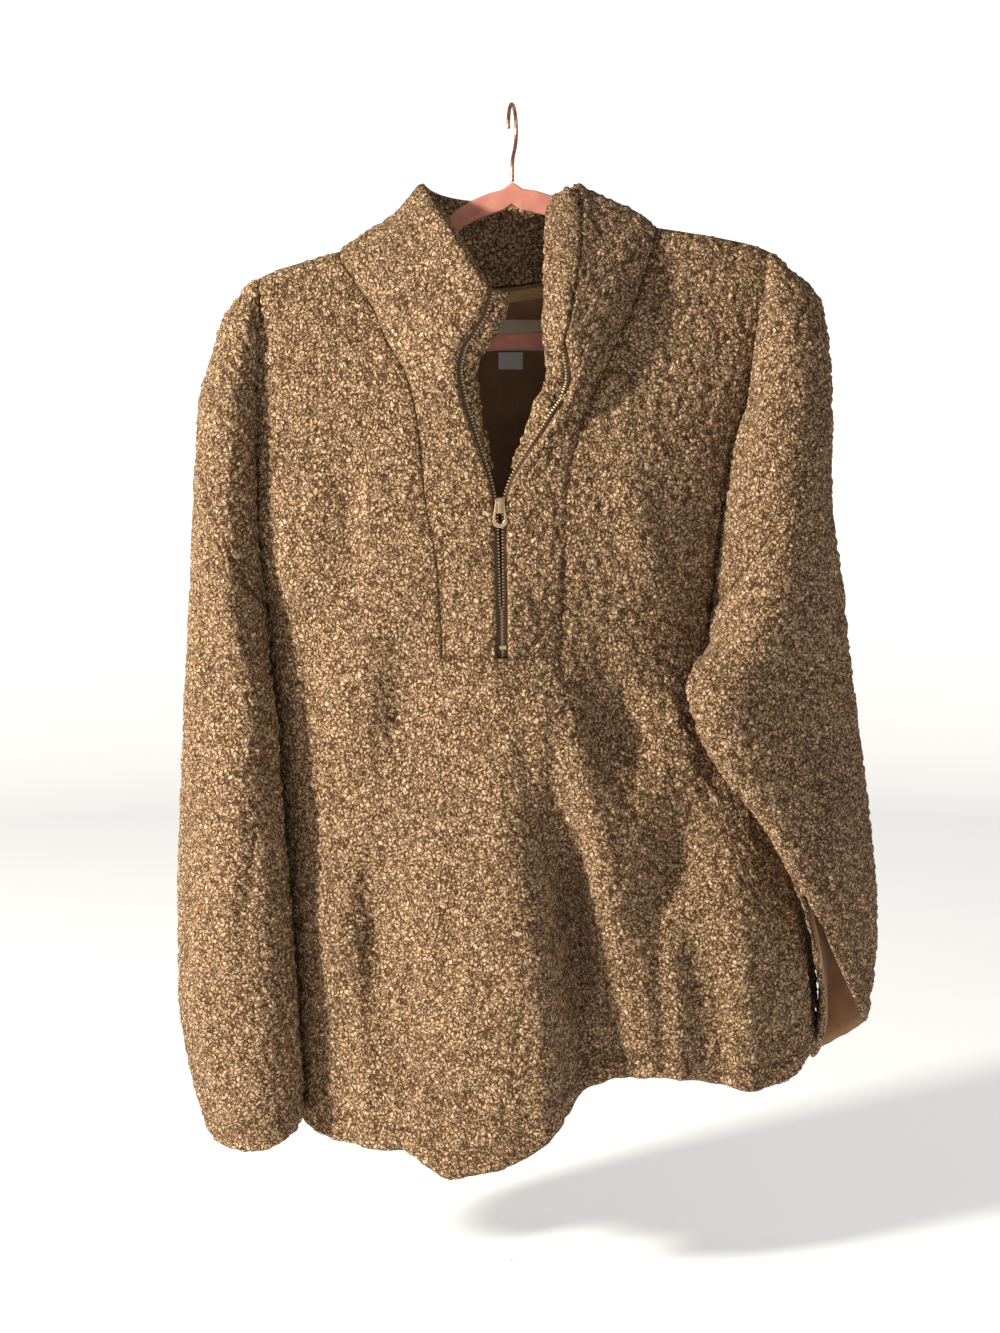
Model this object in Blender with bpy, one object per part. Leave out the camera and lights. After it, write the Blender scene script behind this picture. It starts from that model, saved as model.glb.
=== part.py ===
"""A half-zip pullover jacket in sherpa pile, hanging on a slim hanger.

Metres, +Z up. The wearer's front faces -Y. The origin is the inside top of the hanger's hook,
where it sits on a rail. Left and right are as seen from the front. Tables are in millimetres.
"""

import math

import bmesh
import bpy
import numpy as np
from mathutils import Matrix, Vector

MM = 0.001

# Driving sizes, in millimetres.
WALL = 5.0  # knit backing and pile together
COLLAR_WALL = 12.0  # the stand-up collar has pile on both faces
FACING_WALL = 5.0  # the second layer, turned in behind the open zip
COLLAR_FACING_WALL = 9.0
TAPE_WALL = 0.8
LABEL_WALL = 0.6
SEAM_GAP = 0.3  # between two pieces at a seam, and between two layers
UNDERARM_LEVEL = -390.0
BIB_FOOT_LEVEL = -425.0
SHOULDER_ROUNDING = 12.0  # how far below the shoulder seam the cloth turns over the hanger
HANGER_TILT = math.radians(3.2)  # the left end hangs lower
HANGER_THICKNESS = 5.0
SEAT_ON_HANGER = 6.0  # from the hanger's top line up to the pile's outer face
HANGER_CLEARANCE = 1.2  # from the hanger's top line down to its edge
HOOK_WIRE_RADIUS = 1.5
HOOK_INNER_RADIUS = 17.0
HOOK_TURN = math.radians(80)  # the hook is swivelled almost edge-on to the front
SLIDER_LEVEL = -305.0

# How finely the cloth is divided.
ARM_CELLS = 9  # from the outer fold to the hollow beside the body
SIDE_CELLS_LEFT = 10  # from that hollow to the bib seam
SIDE_CELLS_RIGHT = 11
BIB_CELLS = 5  # from a bib seam to the zip
UPPER_ROWS = 11  # from the shoulder to the underarm
BIB_FOOT_ROWS = 2
LOWER_ROWS = 16  # from the bib's foot to the hem
COLLAR_ROWS = 5
SLEEVE_ROWS = 22


# ---------------------------------------------------------------------------
# Tables and curves
# ---------------------------------------------------------------------------


def table(columns, *rows):
    """A table with named columns: each name gives its column as an array."""
    return dict(zip(columns.split(), np.array(rows, float).T))


def smooth(xs, ys, x):
    """A smooth curve through the points (xs, ys) that never overshoots them, read at x."""
    if xs[0] > xs[-1]:
        xs, ys = xs[::-1], ys[::-1]
    step = np.diff(xs)
    slope = np.diff(ys) / step
    tangent = np.concatenate([slope[:1], np.zeros(len(xs) - 2), slope[-1:]])
    rising = slope[1:] * slope[:-1] > 0
    before, after = slope[:-1][rising], slope[1:][rising]
    near, far = (2 * step[1:] + step[:-1])[rising], (step[1:] + 2 * step[:-1])[rising]
    tangent[1:-1][rising] = (near + far) / (near / before + far / after)
    x = np.clip(np.asarray(x, float), xs[0], xs[-1])
    k = np.clip(np.searchsorted(xs, x) - 1, 0, len(step) - 1)
    t = (x - xs[k]) / step[k]
    rise = t * t * (3 - 2 * t)
    return (
        ys[k] * (1 - rise)
        + ys[k + 1] * rise
        + step[k] * t * (1 - t) * ((1 - t) * tangent[k] - t * tangent[k + 1])
    )


def ease(t):
    """From 0 to 1 with a soft start and end."""
    t = np.clip(t, 0.0, 1.0)
    return t * t * (3 - 2 * t)


def mix(a, b, t):
    return a + (b - a) * t


def bend(t):
    """From 0 to 1 with the points close together at both ends, as round a half circle."""
    return (1 - np.cos(np.pi * t)) / 2


# ---------------------------------------------------------------------------
# The outline of the hanger, which the shoulders follow
# ---------------------------------------------------------------------------

HANGER_TOP = table(
    "reach level",
    (0, -57),
    (4, -58),
    (8, -62.5),
    (16, -64),
    (26, -67),
    (34, -70.5),
    (42, -75),
    (51, -83),
    (62, -89),
    (80, -96),
    (104, -103.5),
    (134, -110),
    (167, -117.5),
    (190, -124),
    (205, -131.5),
    (214, -140),
    (221, -151),
)


def hanger_top(x):
    """The level of the hanger's top edge at x, with its tilt."""
    return smooth(HANGER_TOP["reach"], HANGER_TOP["level"], np.abs(x)) + x * math.sin(HANGER_TILT)


def shoulder_seam(x):
    return hanger_top(x) + SEAT_ON_HANGER


# ---------------------------------------------------------------------------
# The upper body: the width and depth of the arms and the trunk at each level
# ---------------------------------------------------------------------------

# outer: the outer fold of the arm. hollow: the valley between arm and trunk.
# front, back: how far the arm swells to each side of the fold.
ARM_LEFT = table(
    "level outer hollow front back",
    (-146, -214, -197, 9, 9),
    (-166, -227, -198, 20, 24),
    (-196, -236, -199, 28, 36),
    (-227, -245, -200, 36, 48),
    (-264, -248, -200, 42, 60),
    (-305, -251, -200, 46, 68),
    (-354, -253, -197, 50, 76),
    (-390, -255, -194, 52, 80),
)
ARM_RIGHT = table(
    "level outer hollow front back",
    (-127, 220, 200, 9, 9),
    (-145, 239, 196, 20, 18),
    (-165, 245, 192, 30, 24),
    (-188, 248, 189, 38, 29),
    (-229, 251, 183, 48, 36),
    (-264, 251, 173, 54, 40),
    (-305, 253, 167, 58, 43),
    (-354, 259, 162, 60, 45),
    (-390, 264, 158, 60, 46),
)
NOTCH_LEFT = -264.0  # where the armhole seam meets the outer fold
NOTCH_RIGHT = -229.0

# hollow_left, hollow_right: how deep the valleys beside the arms lie from the middle plane.
# left, middle, right: how far the trunk swells beyond them. All are measured outwards.
FRONT = table(
    "level hollow_left hollow_right left middle right",
    (-90, 13, 13, 4, 8, 4),
    (-130, 15, 14, 8, 20, 8),
    (-170, 18, 14, 16, 34, 16),
    (-230, 20, 12, 28, 48, 30),
    (-300, 17, 9, 42, 58, 44),
    (-350, 12, 6, 50, 62, 44),
    (-380, 7, 4, 54, 64, 45),
    (-390, 0, 0, 58, 65, 45),
    (-470, 0, 0, 64, 68, 47),
    (-600, 0, 0, 70, 74, 56),
    (-720, 0, 0, 72, 80, 62),
    (-830, 0, 0, 72, 84, 62),
)
BACK = table(
    "level hollow_left hollow_right left middle right",
    (-90, 13, 13, 6, 8, 6),
    (-130, 16, 15, 14, 18, 14),
    (-170, 22, 19, 24, 30, 24),
    (-230, 26, 22, 34, 40, 34),
    (-300, 22, 18, 42, 46, 42),
    (-350, 16, 13, 48, 50, 48),
    (-380, 8, 7, 52, 54, 52),
    (-390, 0, 0, 56, 56, 56),
    (-470, 0, 0, 58, 62, 58),
    (-600, 0, 0, 60, 68, 62),
    (-720, 0, 0, 62, 72, 64),
    (-830, 0, 0, 62, 74, 64),
)

# The side seams below the underarm.
# left_set, right_set: how far it lies behind the middle plane. roll: how far the back swells
# to the right, so that it rounds out beyond the right seam.
SIDE_SEAM = table(
    "level left right left_set right_set roll",
    (-390, -194, 158, 0, 0, 0),
    (-412, -193, 160, 6, 7, 0),
    (-440, -193, 166, 13, 12, 0),
    (-480, -193, 180, 17, 9, 4),
    (-540, -191, 203, 18, -1, 14),
    (-600, -188, 219, 18, -9, 24),
    (-660, -185, 230, 18, -12, 33),
    (-720, -182, 236, 18, -12, 35),
    (-800, -180, 238, 18, -12, 35),
)

ROLL = table(
    "share amount",
    (0.6, 0),
    (0.7, 0.15),
    (0.8, 0.45),
    (0.87, 0.84),
    (0.9, 1),
    (0.935, 0.97),
    (0.968, 0.66),
    (1, 0),
)

# The bib seams, from its foot to the shoulder.
BIB_LEFT = table(
    "level across",
    (-118, -134),
    (-141, -119),
    (-157, -108),
    (-182, -97),
    (-210, -81),
    (-231, -75),
    (-255, -71),
    (-305, -66),
    (-337, -60),
    (-369, -56),
    (-425, -54),
)
BIB_RIGHT = table(
    "level across",
    (-94, 113),
    (-144, 97),
    (-213, 67),
    (-250, 52),
    (-289, 43),
    (-351, 40),
    (-425, 37),
)

# The lower edge of the front and back, across the body.
FRONT_HEM = table(
    "across level",
    (-180, -792),
    (-160, -810),
    (-135, -815),
    (-112, -815),
    (-89, -814),
    (-49, -829),
    (-25, -823),
    (6, -814),
    (20, -806),
    (34, -795),
    (46, -782),
    (58, -770),
    (76, -764),
    (99, -758),
    (122, -757),
    (146, -761),
    (197, -769),
    (220, -766),
    (238, -752),
)
BACK_HEM = table(
    "across level",
    (-180, -792),
    (-100, -794),
    (-40, -795),
    (20, -784),
    (60, -768),
    (120, -758),
    (238, -752),
)

# Folds in the hanging cloth. Each runs from its top to its foot, bowed sideways in the middle.
# width: half its breadth. rise: outwards, or inwards where negative. open: 1 if it runs out
# through the hem, 0 if it dies away.
FOLD_COLUMNS = "x_top level_top x_foot level_foot bow width rise open"
FRONT_FOLDS = table(
    FOLD_COLUMNS,
    (-4, -440, -14, -800, 8, 40, 22, 1),
    (22, -470, 78, -760, -6, 24, -30, 1),
    (24, -395, 90, -690, 0, 20, 12, 0),
    (60, -400, 108, -550, 0, 22, -12, 0),
    (148, -500, 100, -680, 0, 22, -14, 0),
    (174, -540, 188, -750, 0, 20, 10, 1),
    (140, -600, 146, -740, 0, 18, -7, 1),
    (-60, -380, -104, -540, 0, 20, -9, 0),
    (-52, -480, -64, -760, 0, 18, 7, 1),
    (-98, -540, -110, -750, 0, 20, -11, 0),
    (-124, -235, -130, -430, 0, 20, -10, 0),
    (-150, -560, -112, -790, 0, 20, 9, 1),
    (86, -230, 120, -420, 0, 24, 8, 0),
)
BACK_FOLDS = table(
    FOLD_COLUMNS,
    (-6, -330, -14, -790, 6, 30, -16, 1),
    (-62, -420, -70, -790, 0, 26, 14, 1),
    (54, -380, 66, -760, 0, 26, 15, 1),
    (112, -470, 128, -760, 0, 20, -13, 1),
    (-112, -450, -122, -790, 0, 20, -12, 1),
    (172, -520, 186, -760, 0, 16, 9, 1),
    (-60, -190, -110, -350, 0, 22, -9, 0),
    (60, -180, 110, -340, 0, 22, -9, 0),
)


def raised_by(folds, x, level):
    """How far the folds lift the cloth at x and level."""
    total = np.zeros(np.broadcast(x, level).shape)
    for k in range(len(folds["x_top"])):
        fold = {name: column[k] for name, column in folds.items()}
        along = (fold["level_top"] - level) / (fold["level_top"] - fold["level_foot"])
        middle = mix(fold["x_top"], fold["x_foot"], along)
        middle = middle + fold["bow"] * 4 * np.clip(along, 0, 1) * (1 - np.clip(along, 0, 1))
        strength = ease(along / 0.45)
        if not fold["open"]:
            strength = strength * ease((1 - along) / 0.45)
        total = total + fold["rise"] * strength * np.exp(-(((x - middle) / fold["width"]) ** 2))
    return total


def hollow_lines(level):
    """The x of the valley, or of the side seam, on the left and on the right."""
    left = smooth(ARM_LEFT["level"], ARM_LEFT["hollow"], level)
    right = smooth(ARM_RIGHT["level"], ARM_RIGHT["hollow"], level)
    below = level < UNDERARM_LEVEL
    side_left = smooth(SIDE_SEAM["level"], SIDE_SEAM["left"], level)
    side_right = smooth(SIDE_SEAM["level"], SIDE_SEAM["right"], level)
    return np.where(below, side_left, left), np.where(below, side_right, right)


def trunk_depth(face, folds, x, level):
    """How far the trunk's outer face lies from the middle plane."""
    left, right = hollow_lines(level)
    t = np.clip((x - left) / (right - left), 0, 1)
    hollow = mix(
        smooth(face["level"], face["hollow_left"], level),
        smooth(face["level"], face["hollow_right"], level),
        t,
    )
    out = -1.0 if face is FRONT else 1.0
    set_left = smooth(SIDE_SEAM["level"], SIDE_SEAM["left_set"], level)
    set_right = smooth(SIDE_SEAM["level"], SIDE_SEAM["right_set"], level)
    hollow = hollow + out * (set_left * (1 - t) ** 8 + set_right * t**8)
    swell = (
        smooth(face["level"], face["left"], level) * (1 - t) ** 2
        + smooth(face["level"], face["middle"], level) * 2 * t * (1 - t)
        + smooth(face["level"], face["right"], level) * t**2
    )
    roundness = np.clip(1 - np.abs(2 * t - 1) ** 2.25, 0, 1) ** (1 / 2.25)
    return hollow + swell * roundness * 1.1 + raised_by(folds, x, level) * ease(roundness * 1.4)


def turned_over(drop):
    """The cloth's turn over the shoulder seam: 0 at the seam and 1 once it hangs."""
    return np.sqrt(np.clip(1 - (1 - np.clip(drop / SHOULDER_ROUNDING, 0, 1)) ** 2, 0, 1))


# ---------------------------------------------------------------------------
# Points of the upper body, by column and row
# ---------------------------------------------------------------------------


def row_shares(rows):
    """How far down its column each row lies, with the first rows close below the seam."""
    return np.concatenate([[0, 0.015], np.linspace(0.05, 1, rows - 1)])


def arm_sheet(arm, face, face_name, notch, columns, rows):
    """An arm's front or back from the outer fold (first column) to the hollow (last column).

    It runs from the shoulder's end (first row) to the armhole seam (last row).
    """
    turn = bend(np.linspace(0, 1, columns + 1))
    angle = np.pi * np.linspace(0, 1, columns + 1)
    tip_level = arm["level"][0]
    top_x = mix(arm["outer"][0], arm["hollow"][0], turn)
    top_level = shoulder_seam(top_x)
    top_level = np.where(turn < 1e-6, tip_level, top_level)
    foot_level = mix(notch, UNDERARM_LEVEL, turn)
    share = row_shares(rows)[:, None]
    level = mix(top_level[None], foot_level[None], share)
    outer = smooth(arm["level"], arm["outer"], level)
    inner = smooth(arm["level"], arm["hollow"], level)
    x = mix(outer, inner, turn[None])
    side = "hollow_left" if arm["outer"][0] < 0 else "hollow_right"
    hollow = smooth(face["level"], face[side], level)
    swell = smooth(arm["level"], arm[face_name], level)
    depth = swell * np.sin(angle)[None] + hollow * turn[None]
    depth = depth * turned_over(top_level[None] - level)
    out = -1.0 if face_name == "front" else 1.0
    return np.stack([x, out * depth, level], axis=-1)


def column_shares(level, count_left, count_middle, count_right):
    """Where each column of the trunk lies at each level, from 0 at the left to 1 at the right."""
    left, right = hollow_lines(level)
    held = np.maximum(level, BIB_FOOT_LEVEL)
    held_left, held_right = hollow_lines(held)
    bib_left = smooth(BIB_LEFT["level"], BIB_LEFT["across"], held)
    bib_right = smooth(BIB_RIGHT["level"], BIB_RIGHT["across"], held)
    first = (bib_left - held_left) / (held_right - held_left)
    second = (bib_right - held_left) / (held_right - held_left)
    near_left = np.linspace(0, 1, count_left + 1)[None, :-1] ** 1.35 * first
    middle = mix(first, second, np.linspace(0, 1, count_middle + 1)[None, :-1])
    near_right = mix(1, second, np.linspace(1, 0, count_right + 1)[None] ** 1.35)
    held_shares = np.concatenate([near_left, middle, near_right], axis=1)
    # Below the bib the columns spread out evenly, a little closer at the sides.
    even = np.linspace(0, 1, held_shares.shape[1])[None]
    even = mix(even, bend(even), 0.3)
    return mix(held_shares, even, ease((BIB_FOOT_LEVEL - level) / 160))


def trunk_sheet(face_name, face, folds, hem, counts, rows):
    """The trunk's front or back, from the left hollow or side seam to the right one.

    counts: the columns left of the bib, across it and right of it. rows: from the shoulder
    to the underarm, to the bib's foot and to the hem.
    """
    count = sum(counts) + 1
    out = -1.0 if face_name == "front" else 1.0
    # The top of each column, found by sliding it along the shoulder seam.
    top_level = np.full(count, -110.0)
    for _ in range(12):
        shares = np.diagonal(column_shares(top_level[:, None], *counts))
        left, right = hollow_lines(top_level)
        top_x = mix(left, right, shares)
        top_level = shoulder_seam(np.clip(top_x, ARM_LEFT["hollow"][0], ARM_RIGHT["hollow"][0]))
    upper = mix(top_level[None], UNDERARM_LEVEL, row_shares(rows[0])[:, None])
    foot = mix(UNDERARM_LEVEL, BIB_FOOT_LEVEL, np.linspace(0, 1, rows[1] + 1)[1:, None])
    foot = np.broadcast_to(foot, (rows[1], count))
    hem_shares = column_shares(np.full((1, 1), -760.0), *counts)[0]
    hem_x = mix(SIDE_SEAM["left"][-1], SIDE_SEAM["right"][-1], hem_shares)
    hem_level = smooth(hem["across"], hem["level"], hem_x)
    lower = mix(BIB_FOOT_LEVEL, hem_level[None], np.linspace(0, 1, rows[2] + 1)[1:, None])
    level = np.concatenate([upper, foot, lower])
    shares = np.empty_like(level)
    for k in range(count):
        shares[:, k] = column_shares(level[:, k : k + 1], *counts)[:, k]
    left, right = hollow_lines(level)
    x = mix(left, right, shares)
    depth = trunk_depth(face, folds, x, level)
    depth = depth * turned_over(top_level[None] - level)
    if face_name == "back":
        roll = smooth(SIDE_SEAM["level"], SIDE_SEAM["roll"], level)
        x = x + roll * smooth(ROLL["share"], ROLL["amount"], shares)
    return np.stack([x, out * depth, level], axis=-1)


# ---------------------------------------------------------------------------
# The collar and the bib, cut in one on each side of the zip
# ---------------------------------------------------------------------------

# The collar's outline above the shoulder seam, from the seam to the top edge.
NECK_LEFT = table(
    "share x level",
    (0, -134, -118),
    (0.2, -121, -106),
    (0.45, -102, -93),
    (0.62, -90, -84),
    (0.8, -81, -72),
    (1, -71, -58),
)
NECK_RIGHT = table(
    "share x level",
    (0, 113, -94),
    (0.3, 100, -83),
    (0.55, 82, -74),
    (0.8, 63, -66),
    (1, 49, -58),
)
# The edge of each half along the zip. station: 0 at the bib's foot, 1 at the underarm's
# level, 2 where the seam side reaches the shoulder, 3 at the top edge.
ZIP_LEFT = table(
    "station x y level",
    (0, -12, -74, -425),
    (1, -12.6, -73, -390),
    (1.24, -14.2, -71, -325),
    (1.3, -15, -70, -308),
    (1.36, -17.5, -70, -293),
    (1.5, -27, -70, -264),
    (1.66, -38, -71, -232),
    (1.82, -43, -72, -207),
    (2, -40, -74, -190),
    (2.3, -31, -76, -176),
    (2.65, -22, -78, -160),
    (3, -18, -78, -144),
)
ZIP_RIGHT = table(
    "station x y level",
    (0, -2.6, -74, -425),
    (1, -3.2, -73, -390),
    (1.24, -4.4, -71, -325),
    (1.3, -4.6, -70, -308),
    (1.36, -1, -70, -293),
    (1.46, 12, -70, -271),
    (1.6, 28, -70, -250),
    (1.78, 42, -71, -230),
    (2, 46, -73, -216),
    (2.5, 44, -75, -199),
    (3, 40, -76, -181),
)
# How far each half bulges between its seam and the zip: sideways, forwards and up.
BULGE = table(
    "station sideways forwards up",
    (0, 0, 0, 0),
    (1.3, 0, 1, 0),
    (1.7, 2, 4, 0),
    (2, 4, 6, 2),
    (2.5, 7, 10, 6),
    (3, 8, 12, 9),
)


def bib_sheet(side, seam_points, columns, stations):
    """One half of the bib and collar, from its seam to the zip, row by row from the foot up."""
    zip_edge = ZIP_LEFT if side < 0 else ZIP_RIGHT
    across = np.linspace(0, 1, columns + 1)[None] ** 1.25
    edge = [smooth(zip_edge["station"], zip_edge[k], stations) for k in ("x", "y", "level")]
    edge = np.stack(edge, axis=-1)
    x = mix(seam_points[:, :1], edge[:, :1], across)
    level = mix(seam_points[:, 2:], edge[:, 2:], across)
    # The cloth turns forward at once below the shoulder seam and the neck's outline.
    seam_level = seam_points[:, 2:]
    spring = trunk_depth(FRONT, FRONT_FOLDS, seam_points[:, :1], seam_level)
    above = np.clip(stations[:, None] - 2, 0, 1)
    spring = np.where(above > 0, spring[stations <= 2][-1] * (1 - above * 0.6), spring)
    top = np.maximum(seam_level, seam_level[stations <= 2][-1])
    turned = turned_over((top - level) / (1 + 1.5 * above))
    straight = mix(-spring, edge[:, 1:2], across) + spring * (1 - turned)
    # Low down, the bib lies in the surface of the front; higher up it stands free.
    in_front = -trunk_depth(FRONT, FRONT_FOLDS, x, level)
    start, end = in_front[:, :1], in_front[:, -1:]
    shaped = in_front + mix(seam_points[:, 1:2] - start, edge[:, 1:2] - end, across)
    free = ease((stations[:, None] - 1.1) / 0.6)
    arch = 4 * across * (1 - across)
    sideways = smooth(BULGE["station"], BULGE["sideways"], stations)[:, None] * arch
    forwards = smooth(BULGE["station"], BULGE["forwards"], stations)[:, None] * arch
    up = smooth(BULGE["station"], BULGE["up"], stations)[:, None] * arch
    y = mix(shaped, straight, free) - forwards
    return np.stack([x + side * sideways, y, level + up], axis=-1)


def neck_outline(side, shares):
    outline = NECK_LEFT if side < 0 else NECK_RIGHT
    x = smooth(outline["share"], outline["x"], shares)
    level = smooth(outline["share"], outline["level"], shares)
    return np.stack([x, np.zeros_like(x), level], axis=-1)


def round_the_nape(left, right, columns, depth, dip):
    """A line from left to right round the back of the neck, that far out and down in its middle."""
    angle = np.pi * np.linspace(0, 1, columns + 1)
    line = mix(left[None], right[None], bend(np.linspace(0, 1, columns + 1))[:, None])
    line[:, 1] += depth * np.sin(angle)
    line[:, 2] -= dip * np.sin(angle) ** 1.5
    return line


# ---------------------------------------------------------------------------
# Sleeves, ring by ring
# ---------------------------------------------------------------------------

# Each ring has an outer and an inner point. front, back: how far it swells to each side of
# the line between them. front_drop, back_drop: how much lower those sides lie there.
# lean, skew: how far the back side leans in, and how far its halves shear along the line, with
# skew_rise as the lift for each millimetre of that.
RING_COLUMNS = (
    "station outer_x outer_y outer_z inner_x inner_y inner_z front back front_drop back_drop lean"
    " skew skew_rise"
)
RINGS_LEFT = table(
    RING_COLUMNS,
    (0.00, -248, 0, -264, -194, 0, -390, 45, 69, 0, 0, 0, 0, 0),
    (0.12, -252, 0, -325, -193, -16, -432, 44, 74, 0, 0, 0, -9, 0),
    (0.26, -256, 0, -400, -187, -29, -472, 46, 74, 0, 0, 0, -12, 0),
    (0.40, -261, 0, -475, -183, -34, -526, 48, 72, 0, 0, 0, -12, 0),
    (0.54, -265, 0, -550, -179, -36, -585, 50, 68, 0, 0, 0, -11, 0),
    (0.68, -268, 0, -625, -175, -36, -648, 51, 66, 2, 0, 0, -10, 0),
    (0.82, -268, -2, -700, -171, -36, -714, 52, 64, 6, -2, 0, -10, 0),
    (0.93, -260, -4, -762, -168, -36, -768, 50, 60, 12, -5, 0, -9, 0),
    (1.00, -247, -6, -806, -167, -36, -796, 46, 56, 16, -8, 0, -8, 0),
)
RINGS_RIGHT = table(
    RING_COLUMNS,
    (0.00, 251, 0, -229, 158, 0, -390, 56, 41, 0, 0, 0, 0, 0),
    (0.14, 252, 0, -300, 156, -23, -420, 52, 32, 0, 0, 0, 6.5, 0),
    (0.28, 262, -4, -380, 141, -62, -432, 42, 20, 0, 0, 0, 5, 0),
    (0.42, 270, -8, -448, 134, -86, -449, 36, 15, 0, 0, 0, 3, 0),
    (0.55, 279, -8, -512, 148, -90, -493, 34, 20, 0, 0, 0, 2, 0),
    (0.70, 288, -6, -580, 190, -87, -548, 30, 32, 0, 16, 4, 4, -0.9),
    (0.86, 294, 0, -655, 217, -76, -592, 26, 46, 0, 52, -2, 14, -0.9),
    (1.00, 289, 4, -730, 227, -66, -608, 22, 58, 0, 96, -9, 20, -0.9),
)
# Folds along the sleeves. turn: 0 at the outer fold, 0.25 in front, 0.5 at the inner fold.
SLEEVE_FOLD_COLUMNS = "turn_top station_top turn_foot station_foot width rise"
SLEEVE_FOLDS_LEFT = table(
    SLEEVE_FOLD_COLUMNS,
    (0.14, 0.10, 0.30, 0.45, 0.07, -6),
    (0.32, 0.22, 0.22, 0.75, 0.07, 4),
    (0.70, 0.20, 0.62, 0.60, 0.08, -7),
    (0.80, 0.30, 0.86, 0.88, 0.08, 5),
)
SLEEVE_FOLDS_RIGHT = table(
    SLEEVE_FOLD_COLUMNS,
    (0.12, 0.25, 0.22, 0.65, 0.07, -8),
    (0.30, 0.25, 0.36, 0.60, 0.06, 6),
    (0.20, 0.50, 0.12, 0.92, 0.07, 5),
    (0.80, 0.25, 0.72, 0.70, 0.08, -5),
)


def sleeve_sheet(rings, folds, armhole, rows):
    """A sleeve from the armhole's ring of points to the cuff."""
    around = len(armhole)
    angle = 2 * np.pi * np.arange(around)[None] / around
    station = np.linspace(0, 1, rows + 1)[:, None]
    at = {name: smooth(rings["station"], column, station) for name, column in rings.items()}

    def ring(values):
        middle = [(values["outer_" + k] + values["inner_" + k]) / 2 for k in "xyz"]
        reach = [(values["outer_" + k] - values["inner_" + k]) / 2 for k in "xyz"]
        front, back = np.clip(np.sin(angle), 0, 1), np.clip(-np.sin(angle), 0, 1)
        shear = values["skew"] * np.clip(np.sin(angle), -1, 0) * 2 * np.cos(angle)
        x = middle[0] + reach[0] * np.cos(angle) + values["lean"] * back + shear
        y = middle[1] + reach[1] * np.cos(angle) - values["front"] * front + values["back"] * back
        z = middle[2] + reach[2] * np.cos(angle) - values["front_drop"] * front
        z = z - values["back_drop"] * back + values["skew_rise"] * shear
        return np.stack([x, y, z], axis=-1), np.stack(middle, axis=-1)

    points, middle = ring(at)
    outward = points - middle
    outward = outward / np.linalg.norm(outward, axis=-1, keepdims=True)
    turn = angle / (2 * np.pi)
    for k in range(len(folds["width"])):
        fold = {name: column[k] for name, column in folds.items()}
        along = (station - fold["station_top"]) / (fold["station_foot"] - fold["station_top"])
        away = turn - mix(fold["turn_top"], fold["turn_foot"], along)
        strength = ease(along / 0.4) * ease((1 - along) / 0.4)
        lift = fold["rise"] * strength * np.exp(-((away / fold["width"]) ** 2))
        points = points + outward * lift[..., None]
    # The first rings follow the armhole's own curve and let go of it further down.
    hold = (1 - ease(station / 0.3))[..., None]
    return points + (armhole - points[0])[None] * hold


# ---------------------------------------------------------------------------
# Walls: every piece of cloth is a sheet of points with a thickness
# ---------------------------------------------------------------------------

scene = bpy.context.scene
for old in list(bpy.data.objects):
    bpy.data.objects.remove(old, do_unlink=True)


def material(name, colour, roughness, metallic=0.0):
    made = bpy.data.materials.new(name)
    made.use_nodes = True
    shader = made.node_tree.nodes["Principled BSDF"]
    shader.inputs["Base Color"].default_value = (*colour, 1.0)
    shader.inputs["Roughness"].default_value = roughness
    shader.inputs["Metallic"].default_value = metallic
    return made


def add_object(name, points, faces, colour, roughness, metallic=0.0, smooth_shading=True):
    """A mesh object from points in millimetres."""
    mesh = bpy.data.meshes.new(name)
    mesh.from_pydata([tuple(p) for p in np.asarray(points, float) * MM], [], faces)
    mesh.update()
    made = bpy.data.objects.new(name, mesh)
    scene.collection.objects.link(made)
    mesh.materials.append(material(name, colour, roughness, metallic))
    if smooth_shading:
        mesh.shade_smooth()
        mesh.set_sharp_from_angle(angle=math.radians(40))
    return made


def cells_of(sheet, closed=False):
    """The four corners of each cell of a sheet, as (row, column) pairs turned the same way."""
    rows, columns = sheet.shape[:2]
    last = columns if closed else columns - 1
    return [
        ((r, c), (r + 1, c), (r + 1, (c + 1) % columns), (r, (c + 1) % columns))
        for r in range(rows - 1)
        for c in range(last)
    ]


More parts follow.
